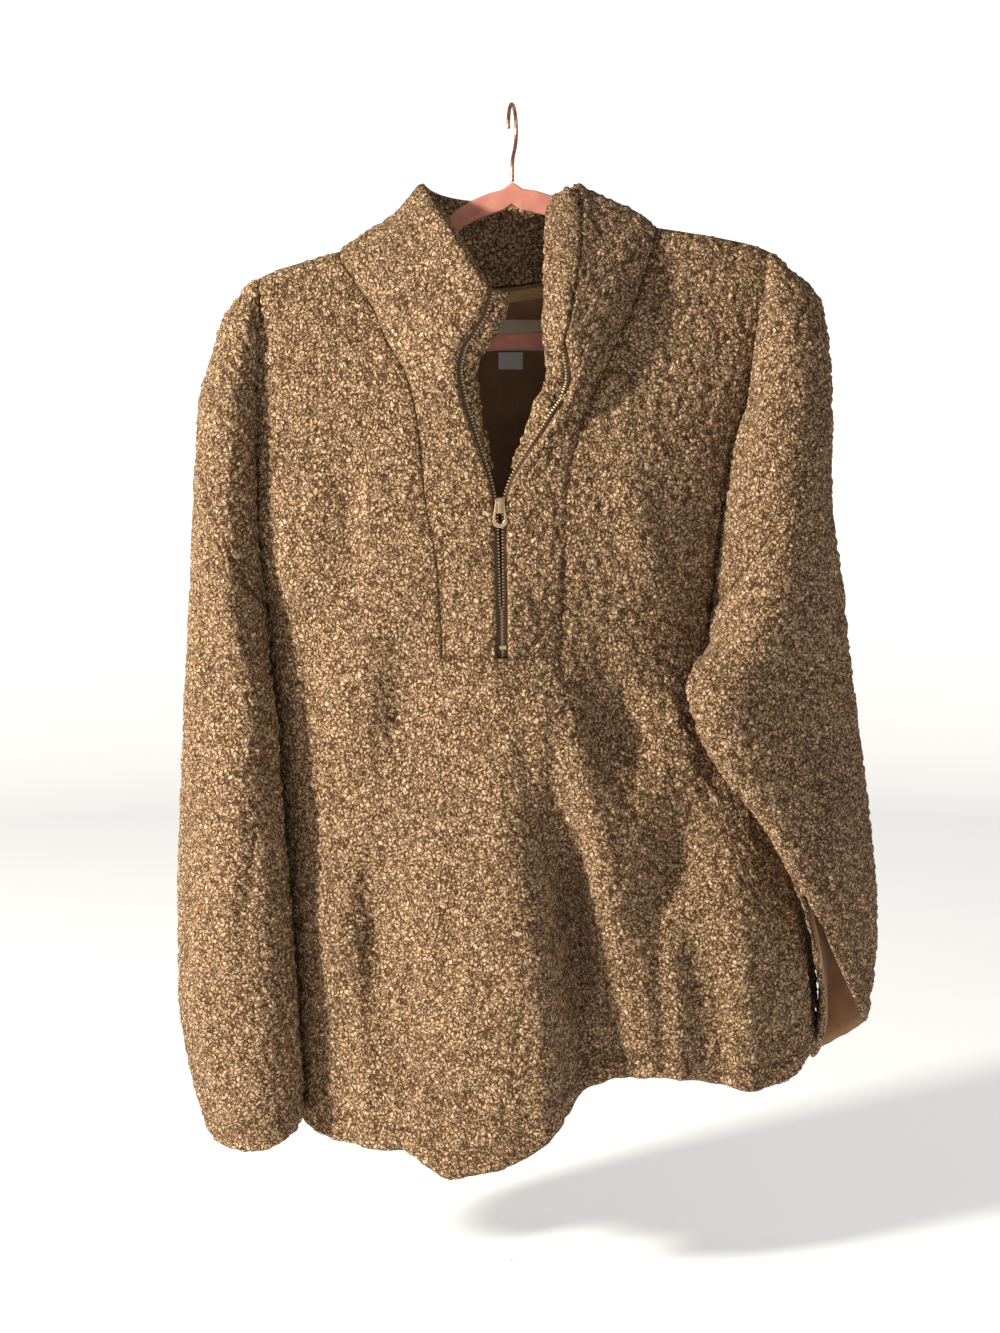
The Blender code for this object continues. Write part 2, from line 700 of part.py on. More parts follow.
class Shell:
    """All the sheets that meet at seams. A point shared by several of them has one normal."""

    def __init__(self):
        self.sheets = {}
        self.normal_sums = {}

    @staticmethod
    def key(point):
        return tuple(int(round(v * 50)) for v in point)

    def add(self, name, sheet, flip, closed=False, skip=None):
        """flip: whether the cells have to be turned round to face outwards."""
        cells = [cell for cell in cells_of(sheet, closed) if skip is None or not skip(*cell[0])]
        if flip:
            cells = [cell[::-1] for cell in cells]
        self.sheets[name] = (sheet, cells)
        for cell in cells:
            a, b, c, d = (sheet[corner] for corner in cell)
            normal = np.cross(c - a, d - b)
            for corner in cell:
                spot = self.key(sheet[corner])
                self.normal_sums[spot] = self.normal_sums.get(spot, 0) + normal

    def wall(self, name, sheet_name, near, far, colour, roughness):
        """A closed solid between near and far millimetres inside the sheet's face."""
        sheet, cells = self.sheets[sheet_name]
        edges = {}
        for cell in cells:
            for a, b in zip(cell, cell[1:] + cell[:1]):
                edges[(a, b)] = cell
        rim = [(a, b) for a, b in edges if (b, a) not in edges]
        pulls = {}
        for a, b in rim:
            centre = sum(sheet[corner] for corner in edges[(a, b)]) / 4
            run = sheet[b] - sheet[a]
            run = run / max(np.linalg.norm(run), 1e-9)
            inward = centre - sheet[a]
            inward = inward - run * inward.dot(run)
            inward = inward / max(np.linalg.norm(inward), 1e-9)
            for corner in (a, b):
                pulls.setdefault(corner, []).append(inward)
        corners = sorted({corner for cell in cells for corner in cell})
        index = {corner: k for k, corner in enumerate(corners)}
        outer, inner = [], []
        for corner in corners:
            point = sheet[corner].copy()
            normal = self.normal_sums[self.key(point)]
            normal = normal / np.linalg.norm(normal)
            if corner in pulls:
                pull = sum(pulls[corner]) / len(pulls[corner])
                point = point + pull / max(pull.dot(pull), 0.3) * (SEAM_GAP / 2 + 0.02)
            outer.append(point - normal * near)
            inner.append(point - normal * (far[corner] if np.ndim(far) else far))
        count = len(corners)
        faces = [tuple(index[corner] for corner in cell) for cell in cells]
        faces += [tuple(index[corner] + count for corner in reversed(cell)) for cell in cells]
        # Both sides of a seam split their rims along the same diagonals, so that they stay apart.
        for a, b in rim:
            one, two = index[a], index[b]
            if self.key(sheet[a]) < self.key(sheet[b]):
                faces += [(two, one, two + count), (one, one + count, two + count)]
            else:
                faces += [(two, one, one + count), (two, one + count, two + count)]
        return add_object(name, outer + inner, faces, colour, roughness)


# ---------------------------------------------------------------------------
# Cloth
# ---------------------------------------------------------------------------

SHERPA = (0.43, 0.27, 0.15)
KNIT = (0.24, 0.13, 0.07)
LABEL = (0.74, 0.68, 0.58)

middle_cells = 2 * BIB_CELLS
counts = (SIDE_CELLS_LEFT, middle_cells, SIDE_CELLS_RIGHT)
row_counts = (UPPER_ROWS, BIB_FOOT_ROWS, LOWER_ROWS)
first_bib = SIDE_CELLS_LEFT
last_bib = SIDE_CELLS_LEFT + middle_cells
bib_foot_row = UPPER_ROWS + BIB_FOOT_ROWS

front = trunk_sheet("front", FRONT, FRONT_FOLDS, FRONT_HEM, counts, row_counts)
back = trunk_sheet("back", BACK, BACK_FOLDS, BACK_HEM, counts, row_counts)

# The neck seam: the back's top edge dips between the two shoulder seams.
neck_line = round_the_nape(
    front[0, first_bib] * (1, 0, 1), front[0, last_bib] * (1, 0, 1), middle_cells, 32.0, 36.0
)
for k in range(1, middle_cells):
    column = first_bib + k
    share = row_shares(UPPER_ROWS)
    across = np.sin(np.pi * k / middle_cells)
    level = mix(neck_line[k, 2], UNDERARM_LEVEL, share)
    x = back[: UPPER_ROWS + 1, column, 0]
    x = x + (neck_line[k, 0] - x[0]) * (1 - ease(share))
    depth = trunk_depth(BACK, BACK_FOLDS, x, level)
    taken = mix(turned_over(neck_line[k, 2] - level), ease(share * 6), across)
    depth = mix(neck_line[k, 1], depth, taken)
    back[: UPPER_ROWS + 1, column] = np.stack([x, depth, level], axis=-1)

arm_sheets = {}
for name, arm, notch in (("left", ARM_LEFT, NOTCH_LEFT), ("right", ARM_RIGHT, NOTCH_RIGHT)):
    for face_name, face in (("front", FRONT), ("back", BACK)):
        sheet = arm_sheet(arm, face, face_name, notch, ARM_CELLS, UPPER_ROWS)
        trunk = front if face_name == "front" else back
        sheet[:, -1] = trunk[: UPPER_ROWS + 1, 0 if name == "left" else -1]
        arm_sheets[name, face_name] = sheet


def whole_panel(trunk, face_name):
    """The trunk with both arms' sheets beside it; the arms have no cells below the armhole."""
    below = len(trunk) - UPPER_ROWS - 1
    left = arm_sheets["left", face_name][:, :-1]
    right = arm_sheets["right", face_name][:, -2::-1]
    left = np.concatenate([left, np.repeat(left[-1:], below, axis=0)])
    right = np.concatenate([right, np.repeat(right[-1:], below, axis=0)])
    return np.concatenate([left, trunk, right], axis=1)


front_panel = whole_panel(front, "front")
back_panel = whole_panel(back, "back")
trunk_start = ARM_CELLS
trunk_end = ARM_CELLS + sum(counts)
bib_start = trunk_start + first_bib
bib_end = trunk_start + last_bib


def outside_panel(row, column):
    """Whether a cell lies where an arm's column has already ended at the armhole."""
    return row >= UPPER_ROWS and not trunk_start <= column < trunk_end


def outside_front(row, column):
    return outside_panel(row, column) or (row < bib_foot_row and bib_start <= column < bib_end)


# Stations of the bib's rows: from its foot to the underarm, the shoulder and the top edge.
foot_stations = np.linspace(0, 1, BIB_FOOT_ROWS + 1)[:-1]
upper_stations = 2 - row_shares(UPPER_ROWS)[::-1]
collar_shares = np.linspace(0, 1, COLLAR_ROWS + 1)[1:]
bib_stations = np.concatenate([foot_stations, upper_stations, 2 + collar_shares])
bib_halves = {}
for name, side, column in (("left", -1, bib_start), ("right", 1, bib_end)):
    seam = front_panel[: bib_foot_row + 1, column][::-1]
    outline = neck_outline(side, collar_shares)
    slip = seam[-1] - neck_outline(side, np.zeros(1))[0]
    outline = outline + slip * (1 - collar_shares)[:, None]
    bib_halves[name] = bib_sheet(side, np.concatenate([seam, outline]), BIB_CELLS, bib_stations)

# Below the bib's foot the front's middle columns start from the bib's own points.
foot_edge = np.concatenate([bib_halves["left"][0], bib_halves["right"][0, ::-1][1:]])
for k in range(1, middle_cells):
    column = bib_start + k
    offset = foot_edge[k] - front_panel[bib_foot_row, column]
    for row in range(bib_foot_row, bib_foot_row + 5):
        front_panel[row, column] += offset * (1 - ease((row - bib_foot_row) / 5))

collar_back = []
for row in range(COLLAR_ROWS + 1):
    share = row / COLLAR_ROWS
    left = bib_halves["left"][bib_foot_row + row, 0]
    right = bib_halves["right"][bib_foot_row + row, 0]
    line = round_the_nape(left, right, middle_cells, mix(32.0, 47.0, share), mix(36.0, 14.0, share))
    collar_back.append(line)
collar_back = np.array(collar_back)
collar_back[0] = back_panel[0, bib_start : bib_end + 1]

sleeves = {}
for name, rings, folds in (
    ("left", RINGS_LEFT, SLEEVE_FOLDS_LEFT),
    ("right", RINGS_RIGHT, SLEEVE_FOLDS_RIGHT),
):
    front_arc = arm_sheets[name, "front"][-1]
    back_arc = arm_sheets[name, "back"][-1]
    armhole = np.concatenate([front_arc, back_arc[-2:0:-1]])
    sleeves[name] = sleeve_sheet(rings, folds, armhole, SLEEVE_ROWS)

shell = Shell()
shell.add("front", front_panel, flip=False, skip=outside_front)
shell.add("back", back_panel, flip=True, skip=outside_panel)
shell.add("bib_left", bib_halves["left"], flip=True)
shell.add("bib_right", bib_halves["right"], flip=False)
shell.add("collar_back", collar_back, flip=False)
shell.add("sleeve_left", sleeves["left"], flip=False, closed=True)
shell.add("sleeve_right", sleeves["right"], flip=True, closed=True)

# The collar thickens round the nape, but not close to the shoulders, where it sits on the hanger.
nape_share = np.sin(np.pi * np.arange(middle_cells + 1) / middle_cells)[None]
nape_share = nape_share * ease(np.linspace(0, 2, COLLAR_ROWS + 1))[:, None]
nape_wall = mix(WALL, COLLAR_WALL, nape_share)

cloth = {
    "front_panel": shell.wall("front_panel", "front", 0, WALL, SHERPA, 0.95),
    "back_panel": shell.wall("back_panel", "back", 0, WALL, SHERPA, 0.95),
    "bib_collar_left": shell.wall("bib_collar_left", "bib_left", 0, WALL, SHERPA, 0.95),
    "bib_collar_right": shell.wall("bib_collar_right", "bib_right", 0, WALL, SHERPA, 0.95),
    "collar_back": shell.wall("collar_back", "collar_back", 0, nape_wall, SHERPA, 0.95),
    "sleeve_left": shell.wall("sleeve_left", "sleeve_left", 0, WALL, SHERPA, 0.95),
    "sleeve_right": shell.wall("sleeve_right", "sleeve_right", 0, WALL, SHERPA, 0.95),
}


# ---------------------------------------------------------------------------
# Along the zip: the tapes, and the facings turned in behind the open edges
# ---------------------------------------------------------------------------

# inward: how far the facing reaches past the zip's edge into the opening. deep: how far its
# free edge lies behind the zip.
FACING = table(
    "station inward deep",
    (1.3, 4, 6),
    (1.45, 8, 9),
    (1.7, 12, 11),
    (2, 14, 11),
    (2.5, 15, 9),
    (3, 14, 7),
)
FACING_START = 1.4
FACING_BEHIND = 8.0  # from the pile's face to the facing
TAPE_BEHIND = 5.8  # from the pile's face to the tape
TAPE_COVERED = 5.0  # how far the tape runs in under the cloth
TAPE_SHOWN = 3.4  # how far it stands out of the open edge


def zip_frame(side, stations):
    """Points on the zip's edge, with the directions out of the cloth's edge and into its back."""
    seam = bib_halves["left" if side < 0 else "right"]
    order = np.arange(len(bib_stations), dtype=float)
    row = np.interp(stations, bib_stations, order)
    edge = ZIP_LEFT if side < 0 else ZIP_RIGHT
    points = [smooth(edge["station"], edge[k], stations) for k in ("x", "y", "level")]
    points = np.stack(points, axis=-1)
    last = seam[:, -1] - seam[:, -2]
    last = np.stack([np.interp(row, order, last[:, k]) for k in range(3)], -1)
    run = np.gradient(points, axis=0)
    run = run / np.linalg.norm(run, axis=1, keepdims=True)
    out = last - run * np.sum(last * run, axis=1, keepdims=True)
    out = out / np.linalg.norm(out, axis=1, keepdims=True)
    behind = np.cross(run, out)
    behind = behind * np.sign(behind[:, 1:2])
    return points, out, behind


def strip_solid(name, lines, thickness, colour, roughness):
    """A strip through lines of points (each the same length), thickened along given directions."""
    sheet = np.stack(lines, axis=1)
    rows, columns = sheet.shape[:2]
    far = sheet + thickness
    points = np.concatenate([sheet.reshape(-1, 3), far.reshape(-1, 3)])
    size = rows * columns

    def at(r, c, side):
        return side * size + r * columns + c

    faces = []
    for r in range(rows - 1):
        for c in range(columns - 1):
            faces.append((at(r, c, 0), at(r, c + 1, 0), at(r + 1, c + 1, 0), at(r + 1, c, 0)))
            faces.append((at(r, c, 1), at(r + 1, c, 1), at(r + 1, c + 1, 1), at(r, c + 1, 1)))
    border = [(0, c) for c in range(columns)] + [(r, columns - 1) for r in range(1, rows)]
    border += [(rows - 1, c) for c in range(columns - 2, -1, -1)]
    border += [(r, 0) for r in range(rows - 2, 0, -1)]
    for one, two in zip(border, border[1:] + border[:1]):
        faces.append((at(*two, 0), at(*one, 0), at(*one, 1), at(*two, 1)))
    made = add_object(name, points, faces, colour, roughness)
    volume = bmesh.new()
    volume.from_mesh(made.data)
    bmesh.ops.recalc_face_normals(volume, faces=volume.faces)
    volume.to_mesh(made.data)
    volume.free()
    return made


def tape_solid(name, side):
    stations = np.concatenate([np.linspace(0.04, 1.24, 8), np.linspace(1.28, 2.94, 20)])
    points, out, behind = zip_frame(side, stations)
    shown = np.where(stations < 1.26, 3.3, TAPE_SHOWN)[:, None]
    base = points + behind * TAPE_BEHIND
    lines = [base - out * TAPE_COVERED, base - out * 1.5, base + out * shown]
    return strip_solid(name, lines, behind[:, None] * TAPE_WALL, (0.33, 0.22, 0.13), 0.8)


def facing_sheet(side):
    """The second layer inside a half: the bib's own points moved in, and two more columns past
    the zip's edge, where its free edge curls into the opening."""
    sheet = bib_halves["left" if side < 0 else "right"]
    inside = np.empty_like(sheet)
    for row, column in np.ndindex(sheet.shape[:2]):
        normal = shell.normal_sums[shell.key(sheet[row, column])]
        inside[row, column] = sheet[row, column] - normal / np.linalg.norm(normal) * FACING_BEHIND
    # It has no rows where the bib's own lie close together at the shoulder.
    close = (bib_stations > 1.92) & (bib_stations < 2)
    kept = (bib_stations >= FACING_START) & ~close
    stations = bib_stations[kept]
    points, out, behind = zip_frame(side, stations)
    inward = smooth(FACING["station"], FACING["inward"], stations)[:, None]
    deep = smooth(FACING["station"], FACING["deep"], stations)[:, None]
    edge = inside[kept, -1]
    curl = [edge + out * inward * 0.55 + behind * deep * 0.25, edge + out * inward + behind * deep]
    return np.concatenate([inside[kept], np.stack(curl, axis=1)], axis=1), stations


facing_shell = Shell()
for name, side in (("left", -1), ("right", 1)):
    tape_solid("zip_tape_" + name, side)
    sheet, stations = facing_sheet(side)
    collar_start = int(np.searchsorted(stations, 1.95))

    def outside_facing(row, column):
        return column < (2 if row >= collar_start else BIB_CELLS - 1)

    facing_shell.add("facing_" + name, sheet, flip=side < 0, skip=outside_facing)
    thick = mix(FACING_WALL, COLLAR_FACING_WALL, ease((stations - 1.9) / 0.4))
    thick = thick[:, None] * np.ones(sheet.shape[1])[None]
    facing_shell.wall("facing_" + name, "facing_" + name, 0, thick, SHERPA, 0.95)


# ---------------------------------------------------------------------------
# Metal: the slider, its pull tab and the stop at the zip's foot
# ---------------------------------------------------------------------------

BRASS = (0.78, 0.6, 0.36)


def prism(name, outline, low, high, colour, roughness, metallic, bevel, holes=()):
    """A plate with its outline in the XZ plane, from low to high along Y, its edges rounded."""
    mesh = bpy.data.meshes.new(name)
    volume = bmesh.new()
    near = [volume.verts.new((x * MM, low * MM, z * MM)) for x, z in outline]
    far = [volume.verts.new((x * MM, high * MM, z * MM)) for x, z in outline]
    count = len(outline)
    if not holes:
        volume.faces.new(near)
        volume.faces.new(far[::-1])
    for k in range(count):
        volume.faces.new((near[k], near[(k + 1) % count], far[(k + 1) % count], far[k]))
    for hole in holes:
        inner_near = [volume.verts.new((x * MM, low * MM, z * MM)) for x, z in hole]
        inner_far = [volume.verts.new((x * MM, high * MM, z * MM)) for x, z in hole]
        for k in range(count):
            j = (k + 1) % count
            volume.faces.new((near[k], near[j], inner_near[j], inner_near[k]))
            volume.faces.new((far[k], far[j], inner_far[j], inner_far[k]))
            volume.faces.new((inner_near[k], inner_near[j], inner_far[j], inner_far[k]))
    bmesh.ops.recalc_face_normals(volume, faces=volume.faces)
    if bevel:
        sharp = [e for e in volume.edges if e.calc_face_angle(0) > math.radians(50)]
        bmesh.ops.bevel(
            volume, geom=sharp, offset=bevel * MM, segments=1, profile=0.5, affect="EDGES"
        )
    volume.to_mesh(mesh)
    volume.free()
    made = bpy.data.objects.new(name, mesh)
    scene.collection.objects.link(made)
    mesh.materials.append(material(name, colour, roughness, metallic))
    return made


def joined(name, pieces):
    """One object from several closed solids of the same piece of metal, made one by union."""
    first = pieces[0]
    for k, other in enumerate(pieces[1:]):
        union = first.modifiers.new("Union%d" % k, "BOOLEAN")
        union.operation = "UNION"
        union.solver = "EXACT"
        union.object = other
        other.hide_render = True
        other.display_type = "WIRE"
    first.name = name
    return first


def moved(outline, x, z):
    return [(a + x, b + z) for a, b in outline]


def zip_middle(level):
    """The middle of the zip at a level below the slider."""
    station = np.interp(-level, -ZIP_LEFT["level"][::-1], ZIP_LEFT["station"][::-1])
    left = smooth(ZIP_LEFT["station"], ZIP_LEFT["x"], station)
    right = smooth(ZIP_RIGHT["station"], ZIP_RIGHT["x"], station)
    face = smooth(ZIP_LEFT["station"], ZIP_LEFT["y"], station)
    return float((left + right) / 2), float(face)


slider_x, slider_face = zip_middle(SLIDER_LEVEL - 3)
tape_y = slider_face + TAPE_BEHIND + TAPE_WALL / 2
SLIDER_OUTLINE = [
    (-2.9, -6.4),
    (2.9, -6.4),
    (3.3, -5.6),
    (3.3, -0.6),
    (4.3, 3.2),
    (4.0, 5.0),
    (1.2, 5.6),
    (-1.2, 5.6),
    (-4.0, 5.0),
    (-4.3, 3.2),
    (-3.3, -0.6),
    (-3.3, -5.6),
]
# Distances in front of the tape.
PLATE_NEAR = 1.5
PLATE_FAR = 2.8
BRIDGE_INSIDE = 9.8
BRIDGE_FAR = 10.9
AXIS_FRONT = 8.6
AXIS_LIFT = 2.2  # above the slider's middle
SLIDER_MIDDLE = SLIDER_LEVEL - 3.0


def slider_block(name, outline, near, far, bevel):
    return prism(
        name,
        moved(outline, slider_x, SLIDER_MIDDLE),
        tape_y - far,
        tape_y - near,
        BRASS,
        0.3,
        1.0,
        bevel,
    )


def rectangle(x0, x1, z0, z1):
    return [(x0, z0), (x1, z0), (x1, z1), (x0, z1)]


slider_plates = [
    slider_block("slider_front", SLIDER_OUTLINE, PLATE_NEAR, PLATE_FAR, 0.3),
    slider_block("slider_back", SLIDER_OUTLINE, -PLATE_FAR, -PLATE_NEAR, 0.3),
    slider_block("slider_nose", rectangle(-0.8, 0.8, 2.6, 4.6), -2.2, 2.2, 0),
    slider_block("slider_upper_leg", rectangle(-1.2, 1.2, 3.6, 4.9), 2.2, BRIDGE_FAR, 0),
    slider_block("slider_lower_leg", rectangle(-1.2, 1.2, -5.4, -4.1), 2.2, BRIDGE_FAR, 0),
    slider_block("slider_arch", rectangle(-1.2, 1.2, -5.4, 4.9), BRIDGE_INSIDE, BRIDGE_FAR, 0.25),
]
slider = joined("slider", slider_plates)

TAB_LENGTH = 20.0
TAB_WIDTHS = table(
    "down outer inner",
    (0.0, 3.3, 2.3),
    (0.12, 3.9, 2.5),
    (0.35, 4.4, 2.6),
    (0.62, 5.3, 3.1),
    (0.8, 5.6, 3.3),
    (0.93, 4.2, 2.4),
    (1.0, 1.6, 0.9),
)
TAB_BAR = 0.65
TAB_FOOT = 3.0
tab_down = TAB_WIDTHS["down"]
outer_level = TAB_BAR - tab_down * TAB_LENGTH
inner_level = -TAB_BAR - tab_down * (TAB_LENGTH - TAB_BAR * 2 - TAB_FOOT)
tab_outline = list(zip(TAB_WIDTHS["outer"], outer_level))
tab_outline += list(zip(-TAB_WIDTHS["outer"][::-1], outer_level[::-1]))
tab_hole = list(zip(TAB_WIDTHS["inner"], inner_level))
tab_hole += list(zip(-TAB_WIDTHS["inner"][::-1], inner_level[::-1]))
pull_tab = prism("pull_tab", tab_outline, -0.65, 0.65, BRASS, 0.3, 1.0, 0.2, [tab_hole])
pull_tab.location = (
    slider_x * MM,
    (tape_y - AXIS_FRONT) * MM,
    (SLIDER_MIDDLE + AXIS_LIFT) * MM,
)

stop_x, stop_face = zip_middle(-417)
stop_y = stop_face + TAPE_BEHIND + TAPE_WALL / 2
prism(
    "zip_stop",
    moved(rectangle(-3.2, 3.2, -1.6, 1.6), stop_x, -417),
    stop_y - 3.4,
    stop_y - 1.6,
    BRASS,
    0.35,
    1.0,
    0.5,
)


# ---------------------------------------------------------------------------
# The hanger and its hook
# ---------------------------------------------------------------------------

# One half of the flat band: along the shoulder, from the middle out, and round its end to the
# bar. out_x, out_z: the outer edge. in_x, in_z: the inner edge. On the shoulder both levels
# count from the hanger's top line.
HANGER_BAND = table(
    "out_x out_z in_x in_z",
    (0, 0, 0, -17),
    (8, 0, 7, -17),
    (18, 0, 16, -17),
    (30, 0, 27, -17),
    (42, 0, 38, -17),
    (54, 0, 49, -17),
    (70, 0, 65, -16),
    (90, 0, 86, -15),
    (115, 0, 111, -15),
    (140, 0, 136, -14),
    (165, 0, 161, -14),
    (185, 0, 180, -14),
    (196, 0, 189, -14),
)
HANGER_END = table(
    "out_x out_z in_x in_z",
    (203, -133, 193, -147),
    (206.5, -140, 194, -151),
    (207, -150, 193, -156),
    (205, -160, 190, -161),
    (199, -170, 184, -166),
    (188, -178, 174, -170),
    (172, -183, 160, -172),
)
BAR_TOP = -174.0
BAR_FOOT = -187.0


def hanger_band():
    """The outer and inner edge points round the hanger, from the middle top clockwise."""
    out_half, in_half = [], []
    band = HANGER_BAND
    for k in range(len(band["out_x"])):
        top = smooth(HANGER_TOP["reach"], HANGER_TOP["level"], band["out_x"][k])
        out_half.append((band["out_x"][k], top + band["out_z"][k]))
        above = smooth(HANGER_TOP["reach"], HANGER_TOP["level"], band["in_x"][k])
        in_half.append((band["in_x"][k], above + band["in_z"][k]))
    end = HANGER_END
    for k in range(len(end["out_x"])):
        out_half.append((end["out_x"][k], end["out_z"][k]))
        in_half.append((end["in_x"][k], end["in_z"][k]))
    for x in (140, 100, 60, 20):
        out_half.append((x, BAR_FOOT))
        in_half.append((x * 0.97, BAR_TOP))
    out = out_half + [(-x, z) for x, z in out_half[:0:-1]]
    inner = in_half + [(-x, z) for x, z in in_half[:0:-1]]
    return np.array(out, float), np.array(inner, float)


def hanger_solid():
    outer, inner = hanger_band()
    half, corner = HANGER_THICKNESS / 2, 1.0
    inward = inner - outer
    inward = inward / np.linalg.norm(inward, axis=1, keepdims=True)
    rings = [
        (outer, -(half - corner)),
        (outer + inward * corner, -half),
        (inner - inward * corner, -half),
        (inner, -(half - corner)),
        (inner, half - corner),
        (inner - inward * corner, half),
        (outer + inward * corner, half),
        (outer, half - corner),
    ]
    count = len(outer)
    points = []
    for edge, depth in rings:
        for x, z in edge:
            points.append((x, depth, z - HANGER_CLEARANCE + x * math.sin(HANGER_TILT)))
    faces = []
    for r in range(8):
        for k in range(count):
            j, s = (k + 1) % count, (r + 1) % 8
            faces.append((s * count + k, s * count + j, r * count + j, r * count + k))
    return add_object("hanger", points, faces, (0.7, 0.36, 0.33), 0.9)


hanger = hanger_solid()

# The wire's path in its own upright plane, from the stem's foot to the open end.
HOOK_RING = HOOK_INNER_RADIUS + HOOK_WIRE_RADIUS
HOOK_STEM = [(0, -57.9), (0, -50), (0, -45.5), (1.2, -41), (4.6, -37), (9, -33.6)]
hook_path = list(HOOK_STEM)
for angle in np.radians(np.arange(-46, 200, 13)):
    level = HOOK_RING * math.sin(angle) - HOOK_INNER_RADIUS
    hook_path.append((HOOK_RING * math.cos(angle), level))


def wire(name, path, radius, turn, sides, colour, roughness, metallic):
    """A round wire along a path in an upright plane that is turned about Z."""
    path = np.array(path, float)
    run = np.gradient(path, axis=0)
    run = run / np.linalg.norm(run, axis=1, keepdims=True)
    points = []
    for (a, z), (da, dz) in zip(path, run):
        for k in range(sides):
            angle = 2 * math.pi * k / sides
            out, aside = radius * math.cos(angle), radius * math.sin(angle)
            points.append((a - dz * out, aside, z + da * out))
    points = np.array(points)
    spin = np.array(Matrix.Rotation(turn, 3, "Z"))
    points = points @ spin.T
    faces = []
    for r in range(len(path) - 1):
        for k in range(sides):
            j = (k + 1) % sides
            faces.append(((r + 1) * sides + k, (r + 1) * sides + j, r * sides + j, r * sides + k))
    last = (len(path) - 1) * sides
    faces.append(tuple(range(sides)))
    faces.append(tuple(last + k for k in range(sides))[::-1])
    return add_object(name, points, faces, colour, roughness, metallic)


hook = wire("hook", hook_path, HOOK_WIRE_RADIUS, HOOK_TURN, 10, (0.8, 0.56, 0.44), 0.25, 1.0)


# ---------------------------------------------------------------------------
# Labels and the neck tape, laid on the cloth
# ---------------------------------------------------------------------------


def laid_on(name, cloth_name, x_line, levels, from_inside, clear, thickness, colour, roughness):
    """A thin strip lying on a piece of cloth, found by looking at the cloth along Y.

    x_line: the x of each column. levels: for each column, the level of each row.
    """
    target = cloth[cloth_name]
    lines = []
    for row in range(len(levels[0])):
        line = []
        for k, x in enumerate(x_line):
            start = Vector((x * MM, 0 if from_inside else -0.3, levels[k][row] * MM))
            towards = Vector((0, 1, 0))
            found, spot, _, _ = target.ray_cast(start, towards)
            if not found:
                raise RuntimeError(name + " misses the cloth")
            line.append((x, spot.y / MM - clear, levels[k][row]))
        lines.append(np.array(line))
    away = np.array([0, -1.0, 0]) * thickness
    return strip_solid(name, lines, away, colour, roughness)


bpy.context.view_layer.update()
tape_x = np.linspace(-52, 54, 9)
tape_top = np.interp(tape_x, neck_line[:, 0], neck_line[:, 2]) - 4
laid_on(
    "neck_tape",
    "back_panel",
    tape_x,
    [(top, top - 4.5, top - 9) for top in tape_top],
    True,
    0.6,
    0.9,
    (0.5, 0.33, 0.19),
    0.85,
)
laid_on(
    "main_label",
    "back_panel",
    np.linspace(-20, 32, 5),
    [np.linspace(-163, -187, 3)] * 5,
    True,
    0.7,
    LABEL_WALL,
    LABEL,
    0.8,
)
laid_on(
    "size_label",
    "back_panel",
    np.linspace(-11, 9, 3),
    [np.linspace(-188.5, -202, 3)] * 3,
    True,
    0.9,
    LABEL_WALL,
    (0.8, 0.78, 0.74),
    0.7,
)
laid_on(
    "hem_tab",
    "front_panel",
    np.linspace(213, 221, 3),
    [np.linspace(-716, -733, 4)] * 3,
    False,
    0.5,
    LABEL_WALL,
    (0.86, 0.85, 0.83),
    0.7,
)
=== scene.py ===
"""A half-zip pullover jacket in sherpa pile, dressed for rendering, on its flocked hanger.

Metres, +Z up; the wearer's front faces -Y. Tables are in millimetres. Left and right are as seen
from the front. The cloth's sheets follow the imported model's own sizes, divided more finely.
"""

import math

import bpy
import numpy as np
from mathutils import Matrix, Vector, kdtree, noise
from mathutils.bvhtree import BVHTree


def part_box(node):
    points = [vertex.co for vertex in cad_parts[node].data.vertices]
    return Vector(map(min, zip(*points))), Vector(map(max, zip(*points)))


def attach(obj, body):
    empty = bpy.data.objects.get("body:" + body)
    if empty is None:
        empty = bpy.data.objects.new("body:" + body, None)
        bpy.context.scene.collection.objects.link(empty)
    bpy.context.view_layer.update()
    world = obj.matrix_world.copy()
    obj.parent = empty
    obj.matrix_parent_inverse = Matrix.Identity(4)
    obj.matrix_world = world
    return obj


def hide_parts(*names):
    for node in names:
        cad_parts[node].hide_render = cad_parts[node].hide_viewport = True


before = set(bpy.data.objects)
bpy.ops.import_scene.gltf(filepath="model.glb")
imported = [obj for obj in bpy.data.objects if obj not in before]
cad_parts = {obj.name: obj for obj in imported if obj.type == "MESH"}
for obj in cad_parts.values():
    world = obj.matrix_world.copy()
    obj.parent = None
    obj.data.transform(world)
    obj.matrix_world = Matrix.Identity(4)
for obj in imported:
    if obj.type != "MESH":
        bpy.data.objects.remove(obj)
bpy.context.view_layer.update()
scene = bpy.context.scene
MM = 0.001

# ---------------------------------------------------------------------------
# Front and back
#
# Sherpa pile on a brown knit backing, cut as one front with a gap for the bib, and one back.
# Both hang from the hanger's shoulders; the side seams are sewn and the hem is turned up once
# and stitched.
# ---------------------------------------------------------------------------

WALL = 5.0
UNDERARM_LEVEL = -390.0
BIB_FOOT_LEVEL = -425.0
SHOULDER_ROUNDING = 12.0  # how far below the shoulder seam the cloth turns over the hanger
HANGER_TILT = math.radians(3.2)
SEAT_ON_HANGER = 6.0

